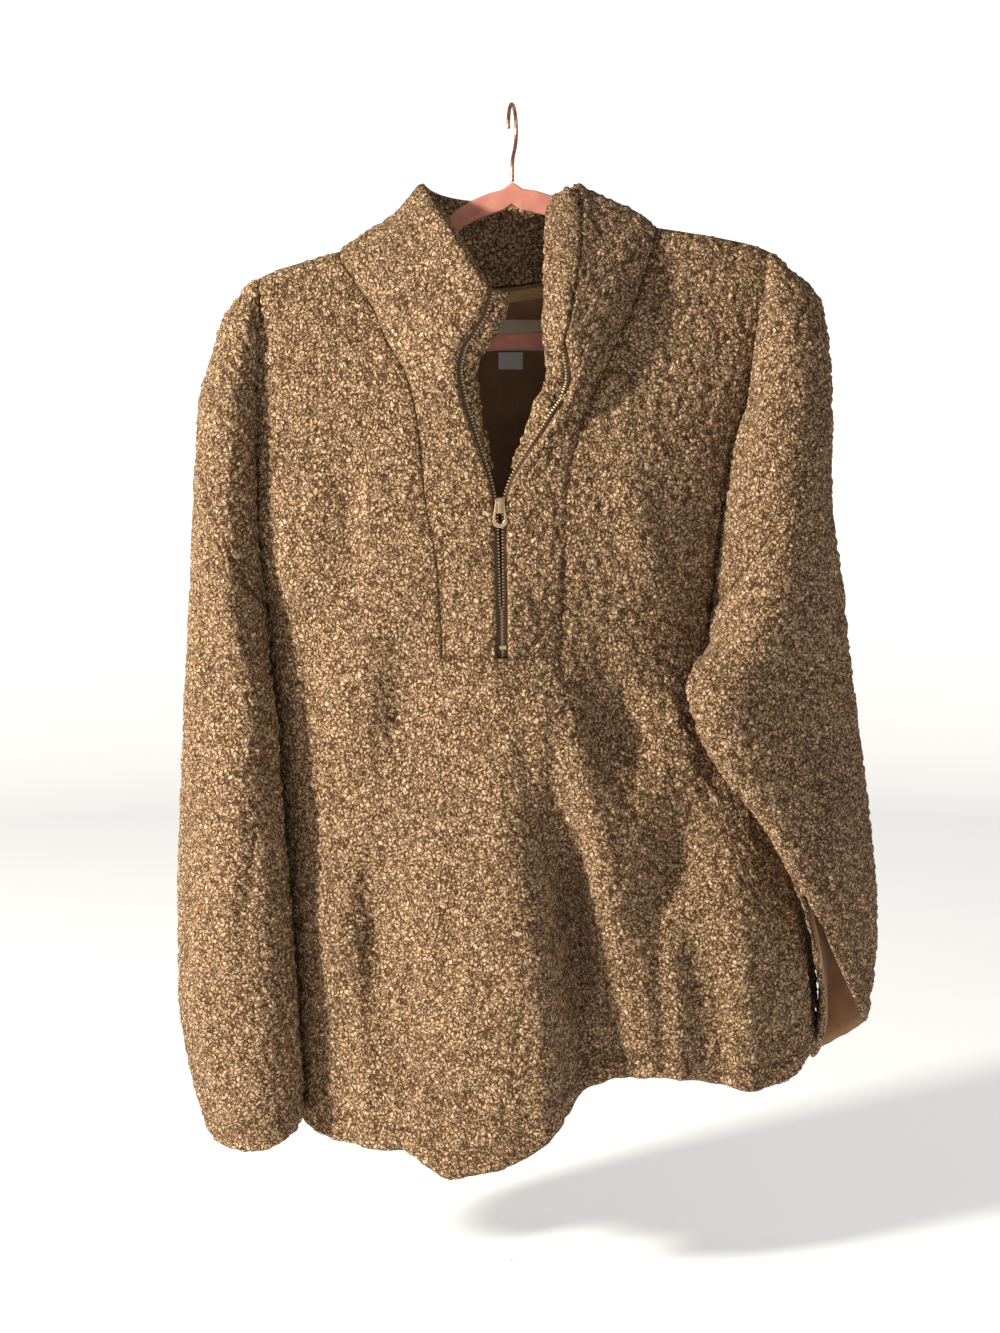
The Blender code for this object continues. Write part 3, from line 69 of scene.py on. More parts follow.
ARM_CELLS = 72
SIDE_CELLS_LEFT = 63
SIDE_CELLS_RIGHT = 69
BIB_CELLS = 33
UPPER_ROWS = 114
BIB_FOOT_ROWS = 12
LOWER_ROWS = 147
COLUMN_CROWDING = 1.35  # how much the columns close up towards the bib's seams
SPREAD_BELOW_BIB = 160.0  # how far below the bib's foot the columns have spread out evenly
SEAM_ROUNDS = 12  # passes that settle each column's top on the shoulder seam
FIRST_TOP_LEVEL = -110.0
HEM_READ_LEVEL = -760.0  # where the columns' shares are read for the hem
TRUNK_SQUARENESS = 2.25  # 2 would be an ellipse
TRUNK_FULLNESS = 1.1
NAPE_DEPTH = 32.0  # how far the neck seam's middle lies behind its ends
NAPE_DIP = 36.0  # and below them
INSIDE_STEP = 3  # the knit inside has one cell for this many of the pile's, each way


def table(columns, *rows):
    """A table with named columns: each name gives its column as an array."""
    return dict(zip(columns.split(), np.array(rows, float).T))


def smooth(xs, ys, x):
    """A smooth curve through the points (xs, ys) that never overshoots them, read at x."""
    if xs[0] > xs[-1]:
        xs, ys = xs[::-1], ys[::-1]
    step = np.diff(xs)
    slope = np.diff(ys) / step
    tangent = np.concatenate([slope[:1], np.zeros(len(xs) - 2), slope[-1:]])
    rising = slope[1:] * slope[:-1] > 0
    before, after = slope[:-1][rising], slope[1:][rising]
    near, far = (2 * step[1:] + step[:-1])[rising], (step[1:] + 2 * step[:-1])[rising]
    tangent[1:-1][rising] = (near + far) / (near / before + far / after)
    x = np.clip(np.asarray(x, float), xs[0], xs[-1])
    k = np.clip(np.searchsorted(xs, x) - 1, 0, len(step) - 1)
    t = (x - xs[k]) / step[k]
    rise = t * t * (3 - 2 * t)
    return (
        ys[k] * (1 - rise)
        + ys[k + 1] * rise
        + step[k] * t * (1 - t) * ((1 - t) * tangent[k] - t * tangent[k + 1])
    )


def ease(t):
    """From 0 to 1 with a soft start and end."""
    t = np.clip(t, 0.0, 1.0)
    return t * t * (3 - 2 * t)


def mix(a, b, t):
    return a + (b - a) * t


def bend(t):
    """From 0 to 1 with the points close together at both ends, as round a half circle."""
    return (1 - np.cos(np.pi * t)) / 2


HANGER_TOP = table(
    "reach level",
    (0, -57),
    (4, -58),
    (8, -62.5),
    (16, -64),
    (26, -67),
    (34, -70.5),
    (42, -75),
    (51, -83),
    (62, -89),
    (80, -96),
    (104, -103.5),
    (134, -110),
    (167, -117.5),
    (190, -124),
    (205, -131.5),
    (214, -140),
    (221, -151),
)


def hanger_top(x):
    """The level of the hanger's top edge at x, with its tilt."""
    return smooth(HANGER_TOP["reach"], HANGER_TOP["level"], np.abs(x)) + x * math.sin(HANGER_TILT)


def shoulder_seam(x):
    return hanger_top(x) + SEAT_ON_HANGER


# outer: the outer fold of the arm. hollow: the valley between arm and trunk.
# front, back: how far the arm swells to each side of the fold.
ARM_LEFT = table(
    "level outer hollow front back",
    (-146, -214, -197, 9, 9),
    (-166, -227, -198, 20, 24),
    (-196, -236, -199, 28, 36),
    (-227, -245, -200, 36, 48),
    (-264, -248, -200, 42, 60),
    (-305, -251, -200, 46, 68),
    (-354, -253, -197, 50, 76),
    (-390, -255, -194, 52, 80),
)
ARM_RIGHT = table(
    "level outer hollow front back",
    (-127, 220, 200, 9, 9),
    (-145, 239, 196, 20, 18),
    (-165, 245, 192, 30, 24),
    (-188, 248, 189, 38, 29),
    (-229, 251, 183, 48, 36),
    (-264, 251, 173, 54, 40),
    (-305, 253, 167, 58, 43),
    (-354, 259, 162, 60, 45),
    (-390, 264, 158, 60, 46),
)
NOTCH_LEFT = -264.0  # where the armhole seam meets the outer fold
NOTCH_RIGHT = -229.0

# hollow_left, hollow_right: how deep the valleys beside the arms lie from the middle plane.
# left, middle, right: how far the trunk swells beyond them. All are measured outwards.
FRONT = table(
    "level hollow_left hollow_right left middle right",
    (-90, 13, 13, 4, 8, 4),
    (-130, 15, 14, 8, 20, 8),
    (-170, 18, 14, 16, 34, 16),
    (-230, 20, 12, 28, 48, 30),
    (-300, 17, 9, 42, 58, 44),
    (-350, 12, 6, 50, 62, 44),
    (-380, 7, 4, 54, 64, 45),
    (-390, 0, 0, 58, 65, 45),
    (-470, 0, 0, 64, 68, 47),
    (-600, 0, 0, 70, 74, 56),
    (-720, 0, 0, 72, 80, 62),
    (-830, 0, 0, 72, 84, 62),
)
BACK = table(
    "level hollow_left hollow_right left middle right",
    (-90, 13, 13, 6, 8, 6),
    (-130, 16, 15, 14, 18, 14),
    (-170, 22, 19, 24, 30, 24),
    (-230, 26, 22, 34, 40, 34),
    (-300, 22, 18, 42, 46, 42),
    (-350, 16, 13, 48, 50, 48),
    (-380, 8, 7, 52, 54, 52),
    (-390, 0, 0, 56, 56, 56),
    (-470, 0, 0, 58, 62, 58),
    (-600, 0, 0, 60, 68, 62),
    (-720, 0, 0, 62, 72, 64),
    (-830, 0, 0, 62, 74, 64),
)

# The side seams below the underarm.
# left_set, right_set: how far it lies behind the middle plane. roll: how far the back swells
# to the right, so that it rounds out beyond the right seam.
SIDE_SEAM = table(
    "level left right left_set right_set roll",
    (-390, -194, 158, 0, 0, 0),
    (-412, -195, 161, 6, 7, 0),
    (-440, -196, 167, 13, 12, 0),
    (-480, -195, 181, 17, 9, 4),
    (-540, -191, 203, 18, -1, 14),
    (-600, -188, 221, 18, -9, 24),
    (-660, -185, 236, 18, -12, 33),
    (-720, -182, 240, 18, -12, 35),
    (-800, -180, 238, 18, -12, 35),
)

ROLL = table(
    "share amount",
    (0.6, 0),
    (0.7, 0.15),
    (0.8, 0.45),
    (0.87, 0.84),
    (0.9, 1),
    (0.935, 0.97),
    (0.968, 0.66),
    (1, 0),
)

# The bib seams, from its foot to the shoulder.
BIB_LEFT = table(
    "level across",
    (-118, -134),
    (-141, -119),
    (-157, -108),
    (-182, -97),
    (-210, -81),
    (-231, -75),
    (-255, -71),
    (-305, -66),
    (-337, -60),
    (-369, -56),
    (-425, -54),
)
BIB_RIGHT = table(
    "level across",
    (-94, 113),
    (-144, 97),
    (-213, 67),
    (-250, 52),
    (-289, 43),
    (-351, 40),
    (-425, 37),
)

# The lower edge of the front and back, across the body.
FRONT_HEM = table(
    "across level",
    (-180, -792),
    (-160, -810),
    (-135, -815),
    (-112, -815),
    (-89, -814),
    (-49, -829),
    (-25, -823),
    (6, -814),
    (20, -806),
    (34, -795),
    (46, -782),
    (58, -770),
    (76, -764),
    (99, -758),
    (122, -757),
    (146, -761),
    (197, -769),
    (220, -766),
    (238, -752),
)
BACK_HEM = table(
    "across level",
    (-180, -792),
    (-100, -794),
    (-40, -795),
    (20, -784),
    (60, -768),
    (120, -758),
    (238, -752),
)

# Folds in the hanging cloth. Each runs from its top to its foot, bowed sideways in the middle.
# width: half its breadth. rise: outwards, or inwards where negative. open: 1 if it runs out
# through the hem, 0 if it dies away.
FOLD_COLUMNS = "x_top level_top x_foot level_foot bow width rise open"
FRONT_FOLDS = table(
    FOLD_COLUMNS,
    (-4, -440, -14, -800, 8, 40, 22, 1),
    (22, -470, 78, -760, -6, 24, -30, 1),
    (24, -395, 90, -690, 0, 20, 12, 0),
    (60, -400, 108, -550, 0, 22, -12, 0),
    (148, -500, 100, -680, 0, 22, -14, 0),
    (174, -540, 188, -750, 0, 20, 10, 1),
    (140, -600, 146, -740, 0, 18, -7, 1),
    (-60, -380, -104, -540, 0, 20, -9, 0),
    (-52, -480, -64, -760, 0, 18, 7, 1),
    (-98, -540, -110, -750, 0, 20, -11, 0),
    (-124, -235, -130, -430, 0, 20, -10, 0),
    (-150, -560, -112, -790, 0, 20, 9, 1),
    (86, -230, 120, -420, 0, 24, 8, 0),
)
BACK_FOLDS = table(
    FOLD_COLUMNS,
    (-6, -330, -14, -790, 6, 30, -16, 1),
    (-62, -420, -70, -790, 0, 26, 14, 1),
    (54, -380, 66, -760, 0, 26, 15, 1),
    (112, -470, 128, -760, 0, 20, -13, 1),
    (-112, -450, -122, -790, 0, 20, -12, 1),
    (172, -520, 186, -760, 0, 16, 9, 1),
    (-60, -190, -110, -350, 0, 22, -9, 0),
    (60, -180, 110, -340, 0, 22, -9, 0),
)
# The smaller creases between those folds.
FRONT_CREASES = table(
    FOLD_COLUMNS,
    (34, -560, 60, -766, 0, 8, -5, 1),
    (70, -620, 92, -764, 2, 9, 4, 1),
    (110, -590, 118, -762, 0, 8, -5, 1),
    (128, -640, 134, -762, 0, 8, 4, 1),
    (160, -650, 166, -764, 0, 7, -5, 1),
    (196, -640, 204, -764, 0, 7, -4, 1),
    (-30, -520, -46, -826, 3, 9, 4, 1),
    (-74, -600, -84, -818, 0, 8, -4, 1),
    (-132, -610, -128, -816, 0, 9, -5, 1),
    (-166, -560, -160, -808, 0, 9, 4, 1),
    (10, -430, 24, -560, 2, 9, 4, 0),
    (48, -430, 80, -540, 3, 9, -4, 0),
    (96, -250, 132, -400, 4, 10, -4, 0),
    (-96, -230, -112, -380, -3, 10, 4, 0),
    (-150, -330, -160, -520, 0, 10, -4, 0),
    (120, -430, 150, -560, 0, 9, 4, 0),
    (44, -530, 52, -764, 0, 11, -15, 1),
    (20, -500, 26, -790, 0, 13, 8, 1),
    (-92, -360, -88, -540, 0, 16, -6, 0),
    (74, -440, 96, -520, 0, 15, -6, 0),
    (108, -520, 150, -650, 0, 14, -6, 0),
    (-112, -520, -106, -812, 0, 14, -5, 1),
)
BACK_CREASES = table(
    FOLD_COLUMNS,
    (-30, -520, -36, -792, 2, 9, 4, 1),
    (30, -560, 36, -780, -2, 9, -5, 1),
    (84, -600, 92, -762, 0, 8, 4, 1),
    (-90, -560, -96, -792, 0, 9, -4, 1),
    (150, -600, 158, -756, 0, 8, -4, 1),
    (-150, -600, -152, -790, 0, 8, 4, 1),
    (-110, -230, -140, -380, 3, 10, -4, 0),
    (110, -220, 134, -370, -3, 10, -4, 0),
)


def together(one, other):
    """Two tables with the same columns as one."""
    return {name: np.concatenate([one[name], other[name]]) for name in one}


front_folds = together(FRONT_FOLDS, FRONT_CREASES)
back_folds = together(BACK_FOLDS, BACK_CREASES)


def raised_by(folds, x, level):
    """How far the folds lift the cloth at x and level."""
    total = np.zeros(np.broadcast(x, level).shape)
    for k in range(len(folds["x_top"])):
        fold = {name: column[k] for name, column in folds.items()}
        along = (fold["level_top"] - level) / (fold["level_top"] - fold["level_foot"])
        middle = mix(fold["x_top"], fold["x_foot"], along)
        middle = middle + fold["bow"] * 4 * np.clip(along, 0, 1) * (1 - np.clip(along, 0, 1))
        strength = ease(along / 0.45)
        if not fold["open"]:
            strength = strength * ease((1 - along) / 0.45)
        total = total + fold["rise"] * strength * np.exp(-(((x - middle) / fold["width"]) ** 2))
    return total


def hollow_lines(level):
    """The x of the valley, or of the side seam, on the left and on the right."""
    left = smooth(ARM_LEFT["level"], ARM_LEFT["hollow"], level)
    right = smooth(ARM_RIGHT["level"], ARM_RIGHT["hollow"], level)
    below = level < UNDERARM_LEVEL
    side_left = smooth(SIDE_SEAM["level"], SIDE_SEAM["left"], level)
    side_right = smooth(SIDE_SEAM["level"], SIDE_SEAM["right"], level)
    return np.where(below, side_left, left), np.where(below, side_right, right)


def trunk_depth(face, folds, x, level):
    """How far the trunk's outer face lies from the middle plane."""
    left, right = hollow_lines(level)
    t = np.clip((x - left) / (right - left), 0, 1)
    hollow = mix(
        smooth(face["level"], face["hollow_left"], level),
        smooth(face["level"], face["hollow_right"], level),
        t,
    )
    out = -1.0 if face is FRONT else 1.0
    set_left = smooth(SIDE_SEAM["level"], SIDE_SEAM["left_set"], level)
    set_right = smooth(SIDE_SEAM["level"], SIDE_SEAM["right_set"], level)
    hollow = hollow + out * (set_left * (1 - t) ** 8 + set_right * t**8)
    swell = (
        smooth(face["level"], face["left"], level) * (1 - t) ** 2
        + smooth(face["level"], face["middle"], level) * 2 * t * (1 - t)
        + smooth(face["level"], face["right"], level) * t**2
    )
    roundness = np.clip(1 - np.abs(2 * t - 1) ** TRUNK_SQUARENESS, 0, 1) ** (1 / TRUNK_SQUARENESS)
    return hollow + swell * roundness * TRUNK_FULLNESS + raised_by(folds, x, level) * ease(roundness * 1.4)


def turned_over(drop):
    """The cloth's turn over the shoulder seam: 0 at the seam and 1 once it hangs."""
    return np.sqrt(np.clip(1 - (1 - np.clip(drop / SHOULDER_ROUNDING, 0, 1)) ** 2, 0, 1))


def arm_sheet(arm, face, face_name, notch, columns, rows):
    """An arm's front or back from the outer fold (first column) to the hollow (last column).

    It runs from the shoulder's end (first row) to the armhole seam (last row).
    """
    turn = bend(np.linspace(0, 1, columns + 1))
    angle = np.pi * np.linspace(0, 1, columns + 1)
    tip_level = arm["level"][0]
    top_x = mix(arm["outer"][0], arm["hollow"][0], turn)
    top_level = shoulder_seam(top_x)
    top_level = np.where(turn < 1e-6, tip_level, top_level)
    foot_level = mix(notch, UNDERARM_LEVEL, turn)
    share = np.linspace(0, 1, rows + 1)[:, None]
    level = mix(top_level[None], foot_level[None], share)
    outer = smooth(arm["level"], arm["outer"], level)
    inner = smooth(arm["level"], arm["hollow"], level)
    x = mix(outer, inner, turn[None])
    side = "hollow_left" if arm["outer"][0] < 0 else "hollow_right"
    hollow = smooth(face["level"], face[side], level)
    swell = smooth(arm["level"], arm[face_name], level)
    depth = swell * np.sin(angle)[None] + hollow * turn[None]
    depth = depth * turned_over(top_level[None] - level)
    out = -1.0 if face_name == "front" else 1.0
    return np.stack([x, out * depth, level], axis=-1)


def column_shares(level, count_left, count_middle, count_right):
    """Where each column of the trunk lies at each level, from 0 at the left to 1 at the right."""
    left, right = hollow_lines(level)
    held = np.maximum(level, BIB_FOOT_LEVEL)
    held_left, held_right = hollow_lines(held)
    bib_left = smooth(BIB_LEFT["level"], BIB_LEFT["across"], held)
    bib_right = smooth(BIB_RIGHT["level"], BIB_RIGHT["across"], held)
    first = (bib_left - held_left) / (held_right - held_left)
    second = (bib_right - held_left) / (held_right - held_left)
    near_left = np.linspace(0, 1, count_left + 1)[None, :-1] ** COLUMN_CROWDING * first
    middle = mix(first, second, np.linspace(0, 1, count_middle + 1)[None, :-1])
    near_right = mix(1, second, np.linspace(1, 0, count_right + 1)[None] ** COLUMN_CROWDING)
    held_shares = np.concatenate([near_left, middle, near_right], axis=1)
    # Below the bib the columns spread out evenly, a little closer at the sides.
    even = np.linspace(0, 1, held_shares.shape[1])[None]
    even = mix(even, bend(even), 0.3)
    return mix(held_shares, even, ease((BIB_FOOT_LEVEL - level) / SPREAD_BELOW_BIB))


def trunk_sheet(face_name, face, folds, hem, counts, rows):
    """The trunk's front or back, from the left hollow or side seam to the right one.

    counts: the columns left of the bib, across it and right of it. rows: from the shoulder
    to the underarm, to the bib's foot and to the hem.
    """
    count = sum(counts) + 1
    out = -1.0 if face_name == "front" else 1.0
    # The top of each column, found by sliding it along the shoulder seam.
    top_level = np.full(count, FIRST_TOP_LEVEL)
    for _ in range(SEAM_ROUNDS):
        shares = np.diagonal(column_shares(top_level[:, None], *counts))
        left, right = hollow_lines(top_level)
        top_x = mix(left, right, shares)
        top_level = shoulder_seam(np.clip(top_x, ARM_LEFT["hollow"][0], ARM_RIGHT["hollow"][0]))
    upper = mix(top_level[None], UNDERARM_LEVEL, np.linspace(0, 1, rows[0] + 1)[:, None])
    foot = mix(UNDERARM_LEVEL, BIB_FOOT_LEVEL, np.linspace(0, 1, rows[1] + 1)[1:, None])
    foot = np.broadcast_to(foot, (rows[1], count))
    hem_shares = column_shares(np.full((1, 1), HEM_READ_LEVEL), *counts)[0]
    hem_x = mix(SIDE_SEAM["left"][-1], SIDE_SEAM["right"][-1], hem_shares)
    hem_level = smooth(hem["across"], hem["level"], hem_x)
    lower = mix(BIB_FOOT_LEVEL, hem_level[None], np.linspace(0, 1, rows[2] + 1)[1:, None])
    level = np.concatenate([upper, foot, lower])
    shares = np.empty_like(level)
    for k in range(count):
        shares[:, k] = column_shares(level[:, k : k + 1], *counts)[:, k]
    left, right = hollow_lines(level)
    x = mix(left, right, shares)
    depth = trunk_depth(face, folds, x, level)
    depth = depth * turned_over(top_level[None] - level)
    if face_name == "back":
        roll = smooth(SIDE_SEAM["level"], SIDE_SEAM["roll"], level)
        x = x + roll * smooth(ROLL["share"], ROLL["amount"], shares)
    return np.stack([x, out * depth, level], axis=-1)


def round_the_nape(left, right, columns, depth, dip):
    """A line from left to right round the back of the neck, that far out and down in its middle."""
    angle = np.pi * np.linspace(0, 1, columns + 1)
    line = mix(left[None], right[None], bend(np.linspace(0, 1, columns + 1))[:, None])
    line[:, 1] += depth * np.sin(angle)
    line[:, 2] -= dip * np.sin(angle) ** 1.5
    return line


middle_cells = 2 * BIB_CELLS
counts = (SIDE_CELLS_LEFT, middle_cells, SIDE_CELLS_RIGHT)
row_counts = (UPPER_ROWS, BIB_FOOT_ROWS, LOWER_ROWS)
first_bib = SIDE_CELLS_LEFT
last_bib = SIDE_CELLS_LEFT + middle_cells
bib_foot_row = UPPER_ROWS + BIB_FOOT_ROWS

front = trunk_sheet("front", FRONT, front_folds, FRONT_HEM, counts, row_counts)
back = trunk_sheet("back", BACK, back_folds, BACK_HEM, counts, row_counts)

# The neck seam: the back's top edge dips between the two shoulder seams.
neck_ends = [front[0, column] * (1, 0, 1) for column in (first_bib, last_bib)]
neck_line = round_the_nape(*neck_ends, middle_cells, NAPE_DEPTH, NAPE_DIP)
for k in range(1, middle_cells):
    column = first_bib + k
    share = np.linspace(0, 1, UPPER_ROWS + 1)
    across = np.sin(np.pi * k / middle_cells)
    level = mix(neck_line[k, 2], UNDERARM_LEVEL, share)
    x = back[: UPPER_ROWS + 1, column, 0]
    x = x + (neck_line[k, 0] - x[0]) * (1 - ease(share))
    depth = trunk_depth(BACK, BACK_FOLDS, x, level)
    taken = mix(turned_over(neck_line[k, 2] - level), ease(share * 6), across)
    depth = mix(neck_line[k, 1], depth, taken)
    back[: UPPER_ROWS + 1, column] = np.stack([x, depth, level], axis=-1)

arm_sheets = {}
for name, arm, notch in (("left", ARM_LEFT, NOTCH_LEFT), ("right", ARM_RIGHT, NOTCH_RIGHT)):
    for face_name, face in (("front", FRONT), ("back", BACK)):
        sheet = arm_sheet(arm, face, face_name, notch, ARM_CELLS, UPPER_ROWS)
        trunk = front if face_name == "front" else back
        sheet[:, -1] = trunk[: UPPER_ROWS + 1, 0 if name == "left" else -1]
        arm_sheets[name, face_name] = sheet


def whole_panel(trunk, face_name):
    """The trunk with both arms' sheets beside it; the arms have no cells below the armhole."""
    below = len(trunk) - UPPER_ROWS - 1
    left = arm_sheets["left", face_name][:, :-1]
    right = arm_sheets["right", face_name][:, -2::-1]
    left = np.concatenate([left, np.repeat(left[-1:], below, axis=0)])
    right = np.concatenate([right, np.repeat(right[-1:], below, axis=0)])
    return np.concatenate([left, trunk, right], axis=1)


front_panel = whole_panel(front, "front")
back_panel = whole_panel(back, "back")
trunk_start = ARM_CELLS
trunk_end = ARM_CELLS + sum(counts)
bib_start = trunk_start + first_bib
bib_end = trunk_start + last_bib

back_cells = np.ones((len(back_panel) - 1, back_panel.shape[1] - 1), bool)
back_cells[UPPER_ROWS:, :trunk_start] = False
back_cells[UPPER_ROWS:, trunk_end:] = False
front_cells = back_cells.copy()
front_cells[:bib_foot_row, bib_start:bib_end] = False

PILE_RISE = 2.3  # how far the tallest clumps of pile stand out of the cloth's face
CLUMP = 5.6  # the breadth of a clump
# Along seams and the stitch line the pile sinks into a groove, and its colour is darkened there as painted
# shade.
SEAM_BREADTH = 3.4  # of the shallow groove along a seam
EDGE_ROLL = 2.4  # how round a turned edge is
STITCH_UP = 18.0  # from the turned edge to its line of stitches
STITCH_BREADTH = 2.6
PILE_LEAN = 0.9  # how far the clumps lean over sideways
CURL_BREADTH = 11.0  # of the slow drift that bends the rows of clumps
CURL_SWAY = 4.5
FIBRE_BREADTH = 2.7
FAR = 1e3  # from any seam or edge
PILE_SEED = 5
noise.seed_set(PILE_SEED)


def sheet_quads(shape, cells, closed, flip):
    """The corner numbers of a sheet's kept cells, turned to face outwards."""
    index = np.arange(shape[0] * shape[1]).reshape(shape[:2])
    if closed:
        index = np.concatenate([index, index[:, :1]], axis=1)
    quads = np.stack([index[:-1, :-1], index[1:, :-1], index[1:, 1:], index[:-1, 1:]], axis=-1)
    quads = quads[cells]
    return quads[:, ::-1] if flip else quads


def sheet_normals(points, quads):
    a, b, c, d = (points[quads[:, k]] for k in range(4))
    facing = np.cross(c - a, d - b)
    normals = np.zeros_like(points)
    for k in range(4):
        np.add.at(normals, quads[:, k], facing)
    # Each is then evened out with its neighbours, so that the wall's two faces keep apart in a crease.
    for _ in range(3):
        normals = normals / np.maximum(np.linalg.norm(normals, axis=1, keepdims=True), 1e-9)
        shared = sum(normals[quads[:, k]] for k in range(4))
        for k in range(4):
            np.add.at(normals, quads[:, k], shared)
    return normals / np.maximum(np.linalg.norm(normals, axis=1, keepdims=True), 1e-9)


def outline_edges(quads):
    """The edges that only one cell has, in that cell's own direction."""
    edges = np.concatenate([quads[:, [k, (k + 1) % 4]] for k in range(4)])
    pairs = np.sort(edges, axis=1)
    _, first, count = np.unique(pairs, axis=0, return_index=True, return_counts=True)
    return edges[first[count == 1]]


def distance_to(points, marked):
    """How far each point is from the nearest marked one."""
    if not marked.any():
        return np.full(len(points), FAR)
    tree = kdtree.KDTree(int(marked.sum()))
    for k, point in enumerate(points[marked]):
        tree.insert(point, k)
    tree.balance()
    return np.array([tree.find(point)[2] for point in points])


def clumps(points):
    """The height of the curled pile at each point, from 0 between clumps to 1 on their tips."""
    height = np.empty(len(points))
    lean = np.empty((len(points), 3))
    for k, point in enumerate(points):
        spot = Vector(point)
        curl = noise.noise_vector(spot / CURL_BREADTH)
        near = noise.voronoi((spot + curl * CURL_SWAY) / CLUMP)[0]
        height[k] = 1.0 - min(near[0] * near[0] * 1.9, 1.0) + 0.22 * noise.noise(spot / FIBRE_BREADTH)
        lean[k] = curl
    return np.clip(height, 0, 1), lean


def new_object(name, points, faces, *materials):
    """A smooth-shaded object in the scene, from points in metres."""
    mesh = bpy.data.meshes.new(name)
    mesh.from_pydata(np.asarray(points).tolist(), [], faces)
    mesh.shade_smooth()
    for made_of in materials:
        mesh.materials.append(made_of)
    made = bpy.data.objects.new(name, mesh)
    scene.collection.objects.link(made)
    return made


def rim_faces(index, inside_index, inside_quads, closed, step, start):
    """The wall's rim: each edge of the inside's outline meets the pile's points between its ends."""
    columns = index.shape[1]
    half = step // 2
    rim = []
    for a, b in outline_edges(inside_quads).tolist():
        row_a, column_a = divmod(a, inside_index.shape[1])
        row_b, column_b = divmod(b, inside_index.shape[1])
        down = row_b - row_a
        run = column_b - column_a
        if closed and abs(run) > 1:
            run = -int(np.sign(run))
        path = [
            int(index[row_a * step + down * k, (column_a * step + run * k) % columns])
            for k in range(step + 1)
        ]
        for k in range(step):
            near = (start + a,) if k < half else (start + b,)
            rim.append((path[k + 1], path[k], *((start + a, start + b) if k == half else near)))
    return rim


def cloth(name, sheet, cells, flip, closed=False, free=None, wall=WALL, step=INSIDE_STEP, stitch=None):
    """A closed wall of pile cloth from a sheet of points, with its knit side behind.

    free: marks the sheet's points on an edge that is turned and not sewn to another piece.
    step: how many of the pile's cells one cell of the inside covers; with 1 the inside has pile
    as well. stitch: how far a line of stitches lies from the free edge.
    """
    points = sheet.reshape(-1, 3).copy()
    quads = sheet_quads(sheet.shape, cells, closed, flip)
    normals = sheet_normals(points, quads)
    used = np.zeros(len(points), bool)
    used[quads.reshape(-1)] = True
    on_border = np.zeros(len(points), bool)
    on_border[outline_edges(quads).reshape(-1)] = True
    loose = np.zeros(len(points), bool) if free is None else free.reshape(-1) & on_border
    sewn = on_border & ~loose
    to_seam = np.full(len(points), FAR)
    to_edge = np.full(len(points), FAR)
    to_seam[used] = distance_to(points[used], sewn[used])
    to_edge[used] = distance_to(points[used], loose[used])
    height = np.full(len(points), 0.5)
    lean = np.zeros_like(points)
    height[used], lean[used] = clumps(points[used])
    # This mask sinks the pile along seams and the stitch line, and is also kept to darken its colour there
    # as painted shade.
    groove_and_shade = np.exp(-((to_seam / SEAM_BREADTH) ** 2))
    if stitch:
        groove_and_shade = groove_and_shade + 0.8 * np.exp(-(((to_edge - stitch) / STITCH_BREADTH) ** 2))
    roll = np.clip(1 - to_edge / EDGE_ROLL, 0, 1)
    rise = height * PILE_RISE * (1 - groove_and_shade) - EDGE_ROLL * (1 - np.sqrt(1 - roll**2))
    outer = points + normals * rise[:, None] + lean * PILE_LEAN * (1 - groove_and_shade[:, None])

    rows, columns = sheet.shape[:2]
    index = np.arange(rows * columns).reshape(rows, columns)
    inside_index = index[::step, ::step]
    thick = np.broadcast_to(np.asarray(wall, float), (rows, columns))[::step, ::step].reshape(-1)
    spots = inside_index.reshape(-1)
    inset = thick - np.where(loose[spots], min(EDGE_ROLL, WALL - EDGE_ROLL) * 0.8, 0)
    if step == 1:
        inset = inset + np.roll(height, 7)[spots] * PILE_RISE * (1 - roll[spots]) * 0.8
    inner = points[spots] - normals[spots] * inset[:, None]
    inside_quads = sheet_quads(inside_index.shape, cells[::step, ::step], closed, flip)
    start = len(points)
    rim = rim_faces(index, inside_index, inside_quads, closed, step, start)

    everything = np.concatenate([outer, inner])
    faces = quads.tolist() + rim + (inside_quads[:, ::-1] + start).tolist()
    taken = np.zeros(len(everything), bool)
    for part in (quads, inside_quads + start):
        taken[part.reshape(-1)] = True
    number = np.cumsum(taken) - 1
    faces = [tuple(int(number[corner]) for corner in face) for face in faces]
    made = new_object(name, everything[taken] * MM, faces, sherpa, sherpa if step == 1 else knit)
    # The clumps' heights, which the pile's material also turns into painted shade in the gaps and painted
    # highlight on the tips.
    pile = np.concatenate([height, np.full(len(inner), 0.55)])[taken]
    # Painted shade along the grooves of seams and the stitch line, kept for the pile's material.
    dark = np.concatenate([np.clip(groove_and_shade, 0, 1), np.zeros(len(inner))])[taken]
    for title, values in (("pile", pile), ("groove_and_shade", dark)):
        attribute = made.data.attributes.new(title, "FLOAT", "POINT")
        attribute.data.foreach_set("value", values.astype(np.float32))
    slots = np.zeros(len(faces), np.int32)
    slots[len(quads) + len(rim) :] = 1
    made.data.polygons.foreach_set("material_index", slots)
    made.data.update()
    return made


def new_material(name):
    """A material with its Principled shader and a helper that adds and links nodes."""
    made = bpy.data.materials.new(name)
    made.use_nodes = True
    tree = made.node_tree
    shader = tree.nodes["Principled BSDF"]

    def node(kind, operation=None, **inputs):
        added = tree.nodes.new(kind)
        if operation:
            added.operation = operation
        for socket, value in inputs.items():
            target = added.inputs[int(socket[1:])] if socket[1:].isdigit() else added.inputs[socket]
            if hasattr(value, "is_linked"):
                tree.links.new(value, target)
            else:
                target.default_value = value
        return added

    return made, tree, shader, node


def math_of(node, operation, a, b=0.5, c=0.0):
    return node("ShaderNodeMath", operation, _0=a, _1=b, _2=c).outputs[0]


